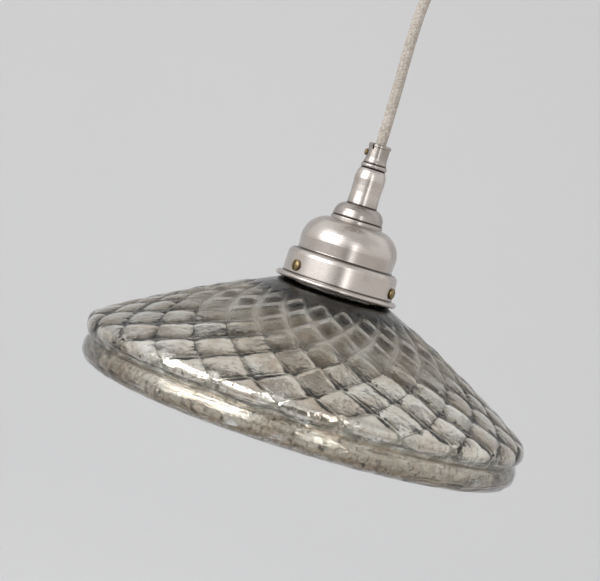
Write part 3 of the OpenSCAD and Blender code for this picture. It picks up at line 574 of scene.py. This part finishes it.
def quilted_wall(inward, relief, sharp, cut, swell, seed):
    """A quilted wall that lies a distance inside the mould line.

    Returns its points, their angles, and how near to a groove they are."""
    u, v, climb, angle = quilt_grid()
    flat = np.stack([SHADE_R * np.sin(angle), SHADE_R * np.cos(angle), climb], axis=-1)
    inner_rows = (smooth((climb - foot_climb) / WOBBLE_FADE_FOOT)
                  * smooth((top_climb - climb) / WOBBLE_FADE_TOP))
    climb = climb + WOBBLE * inner_rows * ripples(flat, WOBBLE_SIZE, 3)
    angle = angle + WOBBLE * inner_rows / SHADE_R * ripples(flat, WOBBLE_SIZE, 4)
    r, z, slope = [np.interp(climb, walk[0], column) for column in walk[1:]]
    share = np.clip(climb / top_climb, 0, 1)
    d = np.arange(GRID_FOOT, GRID_TOP + 1)[:, None]
    weight = (smooth((GRID_TOP - d) / PER_CELL)
              * smooth((climb - foot_climb) / (QUILT_FOOT + RELIEF_FADE - foot_climb)))
    weight = weight * (1 + NECK_RELIEF * share)
    line = turned(r, angle, z)
    lumpy = 1 - smooth(share / FOOT_RIPPLE_SHARE)
    uneven = RIPPLE * ripples(line, RIPPLE_SIZE, seed) + RIPPLE * lumpy * ripples(
        line, FOOT_RIPPLE_SIZE, seed + 10)
    thicker = swell * np.clip((climb - swell_climb) / (top_climb - swell_climb), 0, 1)
    cut_line = groove_line(u, v, CUT_WIDTH) * (1 - smooth((share - CUT_FADES) / GROOVE_FADE))
    push = (weight * relief * (quilt_relief(u, v, sharp) - RELIEF_MIDDLE) - inward - thicker
            - weight * cut * cut_line
            + uneven * smooth((GRID_TOP - d) / RIPPLE_FADE_TOP)
            * smooth((d - GRID_FOOT) / RIPPLE_FADE_FOOT))
    points = turned(r + push * np.sin(slope), angle, z + push * np.cos(slope))
    near_neck = smooth((share - DULL_STARTS) / GROOVE_FADE)
    grooves = {"groove": groove_line(u, v, GROOVE_WIDTH) * (1 - near_neck),
               "dull_groove": groove_line(u, v, DULL_WIDTH) * near_neck * weight}
    return points, angle, grooves


outside, angles, grooves = quilted_wall(0, **OUTSIDE)
inside, _, _ = quilted_wall(GLASS_T, **INSIDE)
print("points on each side:", outside.shape[0] * outside.shape[1])

# %% [markdown]
# ## The neck and the rim
#
# Each side of the wall ends at the quilting's top row and at the groove over the bead. What lies
# beyond them has no diamonds, so plain profiles are enough: the top of the cone, the neck with its
# lip, and the rim, whose edge was melted round in the fire.

# %% Profiles of the neck and the rim
CONE_TOP_STEPS = 6
FILLET_STEPS = 6
neck_t = GLASS_T + NECK_SWELL
inner_bead = BEAD_ROUND - GLASS_T
top_slope = float(np.interp(QUILT_FOOT + CROSSING_ROWS * level_climb, walk[0], walk[3]))


def cone_profile(inward):
    """The plain cone from the quilted top row up to the neck."""
    return profile_arc(
        cone_centre, cone_round - inward, top_slope, SLOPE_TOP, CONE_TOP_STEPS)[1:]


def neck_profile():
    """From the cone over the fillet, the neck and its lip to the top of the bore."""
    fillet = [(cone_top[0] - NECK_FILLET * (math.cos(a) - math.sin(SLOPE_TOP)),
               cone_top[1] + NECK_FILLET * (math.cos(SLOPE_TOP) - math.sin(a)))
              for a in np.linspace(math.pi / 2 - SLOPE_TOP, 0, FILLET_STEPS + 1)[1:]]
    edge = NECK_LIP_EDGE
    lip_top = neck_lip_z + NECK_LIP_H
    lip = [(NECK_R, neck_lip_z), (NECK_LIP_R - edge, neck_lip_z), (NECK_LIP_R, neck_lip_z + edge),
           (NECK_LIP_R, lip_top - edge), (NECK_LIP_R - edge, lip_top),
           (neck_bore + edge, lip_top), (neck_bore, lip_top - edge)]
    return fillet + lip


def inner_neck_foot(inward):
    """Where the inside of the cone meets the bore of the neck."""
    r, z = on_arc(cone_centre, cone_round - inward, SLOPE_TOP)
    return (neck_bore, z + (r - neck_bore) * math.tan(SLOPE_TOP))


def rim_round(steps):
    """The fire-polished edge of the rim, from its inner to its outer side."""
    half = GLASS_T / 2
    centre = on_arc(bead_centre, BEAD_ROUND - half, BEAD_END)
    along = (math.cos(BEAD_END), -math.sin(BEAD_END))
    out = (math.sin(BEAD_END), math.cos(BEAD_END))
    return [(centre[0] + half * (out[0] * math.cos(a) + along[0] * math.sin(a)),
             centre[1] + half * (out[1] * math.cos(a) + along[1] * math.sin(a)))
            for a in np.linspace(math.pi, 0, steps + 1)[1:-1]]


over_neck = cone_profile(0) + neck_profile() + [inner_neck_foot(neck_t)]
over_neck += cone_profile(neck_t)[::-1]
round_rim = profile_arc(bead_centre, inner_bead, GROOVE_END, BEAD_END, 16) + rim_round(8)
round_rim += profile_arc(bead_centre, BEAD_ROUND, BEAD_END, GROOVE_END, 26)
print("rings over the neck:", len(over_neck), "and round the rim:", len(round_rim))

# %% [markdown]
# ## The glass wall
#
# The clear wall is a closed shell: up the quilted outside, over the neck's lip, down the softer
# inside and round the rim. One ring of points for each point of a profile joins the two sides.

# %% Close the wall into a shell
RIM_RIPPLE, RIM_RIPPLE_SIZE = 0.25 * MM, 4 * MM
LONG_ROUND_THE_SHADE = (0.3, 0.3, 1)
RIM_SEED = 7


def plain_rings(profile, angle, uneven=0.0):
    """One ring of points for each (radius, z), at the angles of a grid row.

    uneven is the height of its ripples, long round the shade, that die out at both ends."""
    rings = np.array([turned(r, angle, np.full_like(angle, z)) for r, z in profile])
    fade = np.sin(np.linspace(0, math.pi, len(profile)))[:, None, None]
    waves = ripples(rings * LONG_ROUND_THE_SHADE, RIM_RIPPLE_SIZE, RIM_SEED)[..., None]
    return rings + uneven * fade * waves * turned(1, angle, np.zeros_like(angle))


def ring_faces(first, second):
    """Quads between two rings, given as lists of vertex numbers."""
    a, b = np.asarray(first), np.asarray(second)
    return np.stack([a, np.roll(a, -1), np.roll(b, -1), b], axis=-1).tolist()


def shell(name, outer_side, inner_side, top_profile, rim_profile):
    """A closed shell from two quilted sides, joined by rings over the top and round the rim."""
    top_rings = plain_rings(top_profile, angles[-1])
    rim_rings = plain_rings(rim_profile, angles[0], RIM_RIPPLE)
    points = np.concatenate([outer_side.reshape(-1, 3), inner_side.reshape(-1, 3),
                             top_rings.reshape(-1, 3), rim_rings.reshape(-1, 3)])
    count = GRID_ROWS * AROUND
    outer = np.arange(count).reshape(GRID_ROWS, AROUND)
    inner = outer + count
    tops = np.arange(len(top_profile) * AROUND).reshape(-1, AROUND) + 2 * count
    rims = np.arange(len(rim_profile) * AROUND).reshape(-1, AROUND) + 2 * count + tops.size
    faces = grid_faces() + grid_faces(count, flip=True)
    for loop in ([outer[-1], *tops, inner[-1]], [inner[0], *rims, outer[0]]):
        for first, second in zip(loop, loop[1:]):
            faces += ring_faces(first, second)
    piece = mesh_object(name, points, faces)
    for key, near in grooves.items():
        values = np.zeros(len(points))
        values[:count] = near.reshape(-1)
        add_attribute(piece, key, values)
    return piece


glass = shell("glass_shade", outside, inside, over_neck, round_rim)
print("points on the glass:", len(glass.data.vertices))

# %% [markdown]
# ## The silvering
#
# Silver is poured into the finished glass and clings to its inside as a thin skin. A mirror coat
# on the glass itself would lose the depth of the wall, so the skin is a second shell. It bites a
# little into the glass, so that no slit of air shows between them, and stops short of the rim,
# where the glass stays bare.

# %% Build the skin of silver
SILVER_BITE = 0.05 * MM
SILVER_T = 0.3 * MM
SILVER_END = math.radians(195)
SILVER_STEPS = 18

skin_out, _, _ = quilted_wall(GLASS_T - SILVER_BITE, **INSIDE)
skin_in, _, _ = quilted_wall(GLASS_T - SILVER_BITE + SILVER_T, **INSIDE)
silver = shell(
    "shade_silvering", skin_out, skin_in,
    cone_profile(neck_t - SILVER_BITE) + cone_profile(neck_t - SILVER_BITE + SILVER_T)[::-1],
    profile_arc(bead_centre, inner_bead + SILVER_BITE - SILVER_T, GROOVE_END, SILVER_END,
                SILVER_STEPS)
    + profile_arc(bead_centre, inner_bead + SILVER_BITE, SILVER_END, GROOVE_END, SILVER_STEPS))
print("points on the skin:", len(silver.data.vertices))

# %% [markdown]
# ## Clear soda glass
#
# Soda glass has an IOR of about 1.5 and is clear with a faint cast. Its surface is glossy but
# wavy, which breaks up every reflection. On the cone the waves run all ways; on the shoulder and
# the bead they are drawn out into streaks round the shade. The grooves near the neck are dull.

# %% Finish the clear wall
# The shoulder and the bead take up about the lowest 24 millimetres
RIM_ZONE = 24


def above_rim(tree, uneven=0.0):
    """Height above the rim as a share of the rim's zone.

    uneven is how many millimetres its edge wanders, in clouds about 7 mm across."""
    point = object_point(tree)
    height = add_node(tree, "SeparateXYZ", {"Vector": point}, output="Z")
    drop = add_node(tree, "Math", {0: height, 1: rim_z / MM}, operation="SUBTRACT")
    if uneven:
        cloud = add_node(tree, "TexNoise", {
            "Vector": point, "Scale": 0.15, "Detail": 4, "Roughness": 0.65})
        cloud = add_node(tree, "Math", {0: cloud, 1: 0.5}, operation="SUBTRACT")
        cloud = add_node(tree, "Math", {0: cloud, 1: 2 * uneven}, operation="MULTIPLY")
        drop = add_node(tree, "Math", {0: drop, 1: cloud}, operation="ADD")
    return add_node(tree, "Math", {0: drop, 1: RIM_ZONE}, operation="DIVIDE")


def wavy_height(tree, wave, stretch, strength):
    """Waves on the cone and, in the rim's zone, streaks that run round the shade."""
    streaks = add_node(tree, "TexNoise", {
        "Vector": object_point(tree, stretch), "Scale": 0.6, "Detail": 3, "Roughness": 0.6})
    streaks = add_node(tree, "Math", {0: streaks, 1: strength}, operation="MULTIPLY")
    low = add_node(tree, "ValToRGB", {"Fac": above_rim(tree)},
                   stops=[(0.72, grey(1)), (0.84, grey(0))])
    return add_node(tree, "Mix", {FACTOR: low, FIRST: wave, SECOND: streaks}, **BLEND)


def clear_glass_material():
    """Mould-blown soda glass: clear, glossy, never quite even, dull in the chilled grooves."""
    material, tree, shader = new_material(
        "clear_soda_glass", Base_Color=hex_colour("f3f4f2"), IOR=1.5, Transmission_Weight=1.0)
    wave = add_node(tree, "TexNoise", {
        "Vector": object_point(tree), "Scale": 0.2, "Detail": 3, "Roughness": 0.5,
        "Distortion": 0.6})
    height = wavy_height(tree, wave, stretch=(0.12, 0.12, 0.9), strength=2.2)
    waves = add_node(tree, "Bump", {"Height": height, "Strength": 0.45, "Distance": 1.0 * MM})
    chill = add_node(tree, "Attribute", output="Fac", attribute_name="dull_groove")
    matt = add_node(tree, "ValToRGB", {"Fac": chill}, stops=[(0.1, grey(0.03)), (0.7, grey(0.5))])
    connect(tree, shader, Roughness=matt, Normal=waves)
    return material


clear_soda_glass = clear_glass_material()
finish_piece(glass, clear_soda_glass, "pendant", "shade")

# %% [markdown]
# ## Aged silvering
#
# Silver nitrate leaves a bright mirror, and one even mirror would look like new chrome. A real one
# ages: it dulls in warm clouds, breaks into dark pits and turns brown at the rim, with freckles
# and streaks up to the shoulder. Towards the neck, and a little along the grooves, the silver is
# darkened with painted shade. Behind the dull grooves it no longer mirrors, and they look milky.

# %% Tones of the silvering
WHITE = hex_colour("ffffff")
# How far from the axis the painted shade round the neck reaches, and how many millimetres its edge
# wanders
NECK_SHADE_R = 125
NECK_SHADE_UNEVEN = 16
STAIN_UNEVEN = 2.0


def clouded_silver(tree, clouds, specks):
    """Warm clouds about 20 mm across, dark pits about 2 mm apart, and painted shade along the
    grooves.
    """
    tone = add_node(tree, "ValToRGB", {"Fac": clouds}, stops=[
        (0.32, "c9bbad"), (0.45, "d9d1c7"), (0.56, "e2dfd8"), (0.7, "f2f1ef")])
    pits = add_node(tree, "ValToRGB", {"Fac": specks}, stops=[(0.31, "4a463f"), (0.37, "ffffff")])
    tone = add_node(tree, "Mix", {FACTOR: 0.85, FIRST: tone, SECOND: pits}, **TINT)
    groove = add_node(tree, "Attribute", output="Fac", attribute_name="groove")
    # Painted shade: the silver is darkened along the grooves
    dark = add_node(tree, "ValToRGB", {"Fac": groove}, stops=[(0.1, "ffffff"), (0.9, "c4c5be")])
    return add_node(tree, "Mix", {FACTOR: 1.0, FIRST: tone, SECOND: dark}, **TINT)


def paint_neck_shade(tree, point, specks, chill):
    """Painted shade: dark round the neck and bright further out, but not in the dull grooves."""
    flat = add_node(tree, "VectorMath", {0: point, 1: (1, 1, 0)}, operation="MULTIPLY")
    radius = add_node(tree, "VectorMath", {0: flat}, output="Value", operation="LENGTH")
    patchy = add_node(tree, "Math", {0: specks, 1: 0.5}, operation="SUBTRACT")
    patchy = add_node(tree, "Math", {0: patchy, 1: NECK_SHADE_UNEVEN}, operation="MULTIPLY")
    reach = add_node(tree, "Math", {0: radius, 1: patchy}, operation="ADD")
    share = add_node(tree, "Math", {0: reach, 1: NECK_SHADE_R}, operation="DIVIDE")
    # Painted shade: the silver darkens towards the neck
    neck_shade = add_node(tree, "ValToRGB", {"Fac": share}, stops=[
        (0.31, "31312c"), (0.36, "5c5a52"), (0.5, "a39e92"), (0.64, "ecebe6"), (0.85, "ffffff")])
    # The dull grooves stay free of the painted shade
    clean = add_node(tree, "Math", {0: chill, 1: 1.4}, operation="MULTIPLY", use_clamp=True)
    return add_node(tree, "Mix", {FACTOR: clean, FIRST: neck_shade, SECOND: WHITE}, **BLEND)


def rim_stains(tree, point, tone):
    """Brown at the rim and in the groove over the bead, with freckles about 2 mm apart."""
    stain = add_node(tree, "ValToRGB", {"Fac": above_rim(tree, STAIN_UNEVEN)}, stops=[
        (0.0, "9d8f7c"), (0.19, "b9ab98"), (0.26, "dedad2"), (0.46, "ebe8e3"), (0.53, "e6dfd4"),
        (0.6, "e3dacc"), (0.67, "ffffff"), (0.76, "ffffff")])
    tone = add_node(tree, "Mix", {FACTOR: 1.0, FIRST: tone, SECOND: stain}, **TINT)
    fine = add_node(tree, "TexNoise", {
        "Vector": point, "Scale": 0.42, "Detail": 6, "Roughness": 0.75, "Distortion": 0.4})
    freckles = add_node(tree, "ValToRGB", {"Fac": fine}, stops=[(0.38, "675d50"), (0.5, "ffffff")])
    freckled = add_node(tree, "Mix", {FACTOR: 1.0, FIRST: tone, SECOND: freckles}, **TINT)
    foot = add_node(tree, "ValToRGB", {"Fac": above_rim(tree, STAIN_UNEVEN)}, stops=[
        (0.2, grey(1)), (0.34, grey(0.5)), (0.8, grey(0.5)), (1.0, grey(0))])
    return add_node(tree, "Mix", {FACTOR: foot, FIRST: tone, SECOND: freckled}, **BLEND)


print("tarnish ends in mm from the axis:", round(0.85 * NECK_SHADE_R))


# %% Finish the silvering
def silvering_material():
    """Poured silver: a mirror dulled in warm clouds, pitted, with painted shade at the neck, brown
    below.
    """
    material, tree, shader = new_material("aged_silvering")
    point = object_point(tree)
    clouds = add_node(tree, "TexNoise", {
        "Vector": point, "Scale": 0.05, "Detail": 6, "Roughness": 0.65, "Distortion": 0.5})
    specks = add_node(tree, "TexNoise", {
        "Vector": point, "Scale": 0.42, "Detail": 5, "Roughness": 0.7})
    chill = add_node(tree, "Attribute", output="Fac", attribute_name="dull_groove")
    # Painted shade round the neck
    neck_shade = paint_neck_shade(tree, point, specks, chill)
    tone = clouded_silver(tree, clouds, specks)
    tone = add_node(tree, "Mix", {FACTOR: 1.0, FIRST: tone, SECOND: neck_shade}, **TINT)
    tone = rim_stains(tree, point, tone)
    dull = add_node(tree, "ValToRGB", {"Fac": clouds},
                    stops=[(0.3, grey(0.16)), (0.7, grey(0.05))])
    milky = add_node(tree, "ValToRGB", {"Fac": chill}, stops=[(0.1, grey(1)), (0.8, grey(0.35))])
    crinkle = add_node(tree, "TexNoise", {
        "Vector": point, "Scale": 0.25, "Detail": 3, "Roughness": 0.5, "Distortion": 0.8})
    height = wavy_height(tree, crinkle, stretch=(0.15, 0.15, 1.2), strength=3.0)
    waves = add_node(tree, "Bump", {"Height": height, "Strength": 0.4, "Distance": 0.3 * MM})
    connect(tree, shader, Base_Color=tone, Roughness=dull, Metallic=milky, Normal=waves)
    return material


aged_silvering = silvering_material()
finish_piece(silver, aged_silvering, "pendant", "shade")

# %% [markdown]
# ## Metals
#
# The fitting is spun brass sheet, plated with silver, brushed soft and toned. Plating shows as a
# warm grey mirror, blurred by fine scratches, with a darker patina in patches. The creases and the
# joints between parts are darkened, partly patina that polishing doesn't reach and partly painted
# shade. Every crease of a spun part is a ring, so a crease needs no painted mask: it is a band of
# heights.


# %% Satin metals
def satin_metal(name, colour, roughness, patina, creases=()):
    """Brushed metal: a blurred mirror with patches of patina about 11 mm across.

    creases are their heights and half widths in millimetres, and how dark they are: patina and
    painted shade."""
    material, tree, shader = new_material(name, Metallic=1.0)
    point = object_point(tree)
    cloud = add_node(tree, "TexNoise", {
        "Vector": point, "Scale": 0.09, "Detail": 6, "Roughness": 0.6, "Distortion": 0.3})
    tone = add_node(tree, "ValToRGB", {"Fac": cloud}, stops=[(0.25, patina), (0.5, colour)])
    height = add_node(tree, "SeparateXYZ", {"Vector": point}, output="Z")
    for place, half, share in creases:
        away = add_node(tree, "Math", {0: height, 1: place}, operation="SUBTRACT")
        away = add_node(tree, "Math", {0: away}, operation="ABSOLUTE")
        away = add_node(tree, "Math", {0: away, 1: half}, operation="DIVIDE")
        # Patina and painted shade in the crease
        dark = add_node(tree, "ValToRGB", {"Fac": away}, stops=[(0.35, "4a4039"), (1.0, "ffffff")])
        tone = add_node(tree, "Mix", {FACTOR: share, FIRST: tone, SECOND: dark}, **TINT)
    # The scratches of the abrasive are finer; they are drawn 0.8 mm apart so that they show
    grain = add_node(tree, "TexNoise", {
        "Vector": point, "Scale": 1.2, "Detail": 4, "Roughness": 0.6})
    rough = add_node(tree, "ValToRGB", {"Fac": grain}, stops=[
        (0.3, grey(roughness - 0.03)), (0.7, grey(roughness + 0.04))])
    scratches = add_node(tree, "Bump", {"Height": grain, "Strength": 0.04, "Distance": 0.05 * MM})
    connect(tree, shader, Base_Color=tone, Roughness=rough, Normal=scratches)
    return material


collar_foot, collar_top = height_of("domed_collar", 0), height_of("domed_collar", 1)
joints = [collar_foot, collar_top, height_of("collar_ring", 0), height_of("collar_ring", 1)]
# Dark bands at the creases and at the joints between parts: patina, and painted shade
creases = [(z / MM, 0.7, 0.9) for z in joints] + [
    # Over the rolled lip, and between the screw band and the bell
    (lip_z / MM + 1.9, 0.7, 0.9), (lip_z / MM + 15.7, 0.9, 0.9),
    # Round the foot of the rose cup, and under its band
    (height_of("rose_cup", 0) / MM, 0.8, 0.9), (height_of("rose_cup", 1) / MM - 11.6, 0.6, 0.9),
    # Wide and faint: the domed collar and the cord grip are darker all over
    ((collar_foot + collar_top) / 2 / MM, 9, 0.3), (grip_top / MM - 4, 12, 0.3)]
finishes = {
    # Silver plate over spun brass: warm grey, with a soft highlight
    "antique_silver": satin_metal(
        "antique_silver_plate", "ccc5c0", 0.29, "b8b0aa", creases=creases),
    # Turned brass gone brown where no finger rubs it
    "aged_brass": satin_metal("aged_brass", "93825f", 0.32, "4d412d"),
    # Turned brass as it left the lathe: yellow and bright
    "clean_brass": satin_metal("clean_brass", "d0ac62", 0.25, "b08c4a"),
    # Zinc plated steel: bluish and flat
    "zinc": satin_metal("zinc_plate", "b4b8bd", 0.35, "989ca2"),
    # Nickel plate on the bulb's cap and wires: pale and bright
    "bulb_metal": satin_metal("bulb_metal", "c9ccd0", 0.25, "b0b4b8"),
}
print("creases:", len(creases), "metals:", len(finishes))

# %% [markdown]
# ## Plastics, porcelain and the bulb
#
# The small parts inside are plain materials, told apart by their shine: porcelain and the bulb's
# black glass shine sharply, PVC softly, nylon is waxy and phosphor matte. One colour all over
# would look like a drawing, so each has faint clouds, as moulded and glazed things do.

# %% Plain finishes
SHADED = 0.8


def plain_finish(name, colour, roughness, **surface):
    """One colour with faint clouds, about 4 mm across, that are a fifth darker."""
    material, tree, shader = new_material(name, Roughness=roughness, **surface)
    cloud = add_node(tree, "TexNoise", {
        "Vector": object_point(tree), "Scale": 0.25, "Detail": 5, "Roughness": 0.6})
    shaded = tuple(SHADED * c for c in hex_colour(colour)[:3]) + (1,)
    tone = add_node(tree, "ValToRGB", {"Fac": cloud}, stops=[(0.3, shaded), (0.6, colour)])
    connect(tree, shader, Base_Color=tone)
    return material


finishes.update({
    # Moulded nylon: off-white and waxy
    "white_nylon": plain_finish("white_nylon", "ecebe6", 0.45),
    # Glazed porcelain: warm white with a wet shine
    "porcelain": plain_finish("porcelain", "f2efe8", 0.15),
    # PVC insulation of line, neutral and earth, with a soft shine
    "brown_core": plain_finish("brown_core", "6b4426", 0.4),
    "blue_core": plain_finish("blue_core", "2d5f9e", 0.4),
    "earth_core": plain_finish("earth_core", "8fb03a", 0.4),
    # Blown clear glass: so smooth that it is seen by its highlights
    "bulb_glass": plain_finish("bulb_glass", "ffffff", 0.02, IOR=1.5, Transmission_Weight=1.0),
    # Black glass round the cap's contact, with a sharp shine
    "bulb_black_glass": plain_finish("bulb_black_glass", "1c1c1f", 0.1),
    # Light sticks coated with yellow phosphor, matte as chalk
    "filament": plain_finish("filament", "f0c94e", 0.5),
    "linen": linen_braid,
    "silvered_glass": aged_silvering,
})
print("finishes:", len(finishes))

# %% [markdown]
# ## Dressing the frame's own parts
#
# Parts that already have the right shape keep their meshes. Each gets the finish that the frame
# names for it.

# %% Give the parts their finishes
slot_of = {part["node"]: part["material_slot"] for part in frame["record"]["subparts"]}
for name, piece in nodes.items():
    for place in piece.material_slots:
        place.material = finishes[slot_of[name]]
print("finished", len(nodes), "frame parts")

# %% [markdown]
# ## The studio's paper
#
# A studio hangs one sheet of pale paper on the wall and lets it run out over the floor in a wide
# curve, so that no corner shows. It is a strip of faces along that line. The floor lies low, so
# that the light can also be seen from below.

# %% Hang the paper
FLOOR_Z = -1.3
PAPER_HALF = 3.5
PAPER_FRONT = -2.5
PAPER_BACK = 2.2
PAPER_TOP = 2.0
PAPER_CURVE = 0.5
CURVE_POINTS = 13


def hang_paper():
    """A pale floor that sweeps up into a pale wall."""
    curve = [(PAPER_BACK - PAPER_CURVE + PAPER_CURVE * math.sin(a),
              FLOOR_Z + PAPER_CURVE - PAPER_CURVE * math.cos(a))
             for a in np.linspace(0, math.pi / 2, CURVE_POINTS)]
    line = [(PAPER_FRONT, FLOOR_Z)] + curve + [(PAPER_BACK, PAPER_TOP)]
    points = [(x, y, z) for y, z in line for x in (-PAPER_HALF, PAPER_HALF)]
    faces = [(2 * i, 2 * i + 1, 2 * i + 3, 2 * i + 2) for i in range(len(line) - 1)]
    return mesh_object("studio_sweep", points, faces)


stage = hang_paper()
# Uncoated paper: pale, with no shine
studio_paper, _, _ = new_material("studio_paper", Base_Color=hex_colour("dfe0e2"), Roughness=0.9)
stage.data.materials.append(studio_paper)
print("faces of the paper:", len(stage.data.polygons))

# %% [markdown]
# ## The room
#
# Polished metal and silvered glass show the room more than themselves. An even sky would leave
# them flat. This is a pale room with a dark floor: a bright wall on the left gives them their
# light, and dim fields give them contrast. One is narrow, where the viewer stands, one faint and
# high above it, and one high behind the light. It all depends on the direction alone, so it is a
# world background.

# %% Build the room
ROOM_STRENGTH = 1.1
ROOM_FIELDS = [
    # left, right, foot, top and softness in degrees, share, colour
    (-8, 8, -12, 14, 4, 0.85, "2b2927"),
    (-70, 95, 34, 66, 18, 0.3, "3a3734"),
    (-80, -16, 2, 46, 12, 0.9, "ffffff"),
    # Two halves of the field behind, on both sides of the line where the angles start again
    (150, 220, 40, 54, 7, 0.75, "3b3c37"),
    (-220, -150, 40, 54, 7, 0.75, "3b3c37"),
]
DEGREES = 180 / math.pi


def room_field(tree, azimuth, elevation, left, right, foot, top, soft):
    """1 inside a window of directions, in degrees, fading to 0 over soft degrees."""
    share = None
    for value, low, high in ((azimuth, left, right), (elevation, foot, top)):
        for edge, way in ((low, 1), (high, -1)):
            step = add_node(tree, "MapRange", {
                "Value": value, "From Min": edge - way * soft / 2,
                "From Max": edge + way * soft / 2}, interpolation_type="SMOOTHSTEP")
            share = step if share is None else add_node(
                tree, "Math", {0: share, 1: step}, operation="MULTIPLY")
    return share


def build_room(tree):
    """Pale walls and ceiling over a dark floor, with the fields laid over them."""
    way = add_node(tree, "TexCoord", output="Generated")
    x, y, z = add_node(tree, "SeparateXYZ", {"Vector": way}).node.outputs
    elevation = add_node(tree, "Math", {0: z}, operation="ARCSINE")
    elevation = add_node(tree, "Math", {0: elevation, 1: DEGREES}, operation="MULTIPLY")
    front = add_node(tree, "Math", {0: y, 1: -1.0}, operation="MULTIPLY")
    azimuth = add_node(tree, "Math", {0: x, 1: front}, operation="ARCTAN2")
    azimuth = add_node(tree, "Math", {0: azimuth, 1: DEGREES}, operation="MULTIPLY")
    height = add_node(tree, "Math", {0: elevation, 1: 180.0}, operation="DIVIDE")
    height = add_node(tree, "Math", {0: height, 1: 0.5}, operation="ADD")
    room = add_node(tree, "ValToRGB", {"Fac": height}, stops=[
        (0.0, "5f5951"), (0.41, "989189"), (0.5, "d6d3cf"), (0.75, "eeeeed"), (1.0, "d6d1cb")])
    for *window, share, colour in ROOM_FIELDS:
        field = room_field(tree, azimuth, elevation, *window)
        field = add_node(tree, "Math", {0: field, 1: share}, operation="MULTIPLY")
        room = add_node(tree, "Mix", {
            FACTOR: field, FIRST: room, SECOND: hex_colour(colour)}, **BLEND)
    background = tree.nodes["Background"]
    tree.links.new(room, background.inputs["Color"])
    background.inputs["Strength"].default_value = ROOM_STRENGTH


world = bpy.data.worlds.new("studio")
bpy.context.scene.world = world
world.use_nodes = True
build_room(world.node_tree)
bpy.context.scene.view_settings.view_transform = "Standard"
print("nodes of the room:", len(world.node_tree.nodes))

# %% [markdown]
# ## Lights
#
# The highlights on the metal and along the shoulder come from a window of six panes, to the
# left of the viewer. One large light would give a single smooth streak; six soft ones let the bars
# between the panes break it up. A slim strip to the right draws the second, thinner highlight.

# %% Place the lights
LIGHT_DISTANCE = 2.0
PANE_COLUMNS, PANE_LEFT, PANE_RIGHTWARD = 3, -66, 17
PANE_ROWS, PANE_LOW, PANE_UPWARD = 2, 14, 19
PANE_SIZE, PANE_POWER = (0.3, 0.46), 3.0
STRIP_AZIMUTH, STRIP_ELEVATION = 14, 10
STRIP_SIZE, STRIP_POWER = (0.08, 1.4), 4


def soft_light(name, azimuth, elevation, size, power):
    """A rectangular light that faces the gallery; azimuth 0 is the front, + to the right."""
    data = bpy.data.lights.new(name, "AREA")
    data.shape = "RECTANGLE"
    data.size, data.size_y = size
    data.energy = power
    light = bpy.data.objects.new(name, data)
    bpy.context.scene.collection.objects.link(light)
    a, e = math.radians(azimuth), math.radians(elevation)
    place = Vector((math.sin(a) * math.cos(e), -math.cos(a) * math.cos(e), math.sin(e)))
    light.location = Vector((0, 0, lip_z)) + place * LIGHT_DISTANCE
    light.rotation_euler = (-place).to_track_quat("-Z", "Y").to_euler()


for column in range(PANE_COLUMNS):
    for row in range(PANE_ROWS):
        soft_light(f"pane_{column}_{row}", PANE_LEFT + PANE_RIGHTWARD * column,
                   PANE_LOW + PANE_UPWARD * row, PANE_SIZE, PANE_POWER)
soft_light("strip", STRIP_AZIMUTH, STRIP_ELEVATION, STRIP_SIZE, STRIP_POWER)
print("lights:", PANE_COLUMNS * PANE_ROWS + 1)
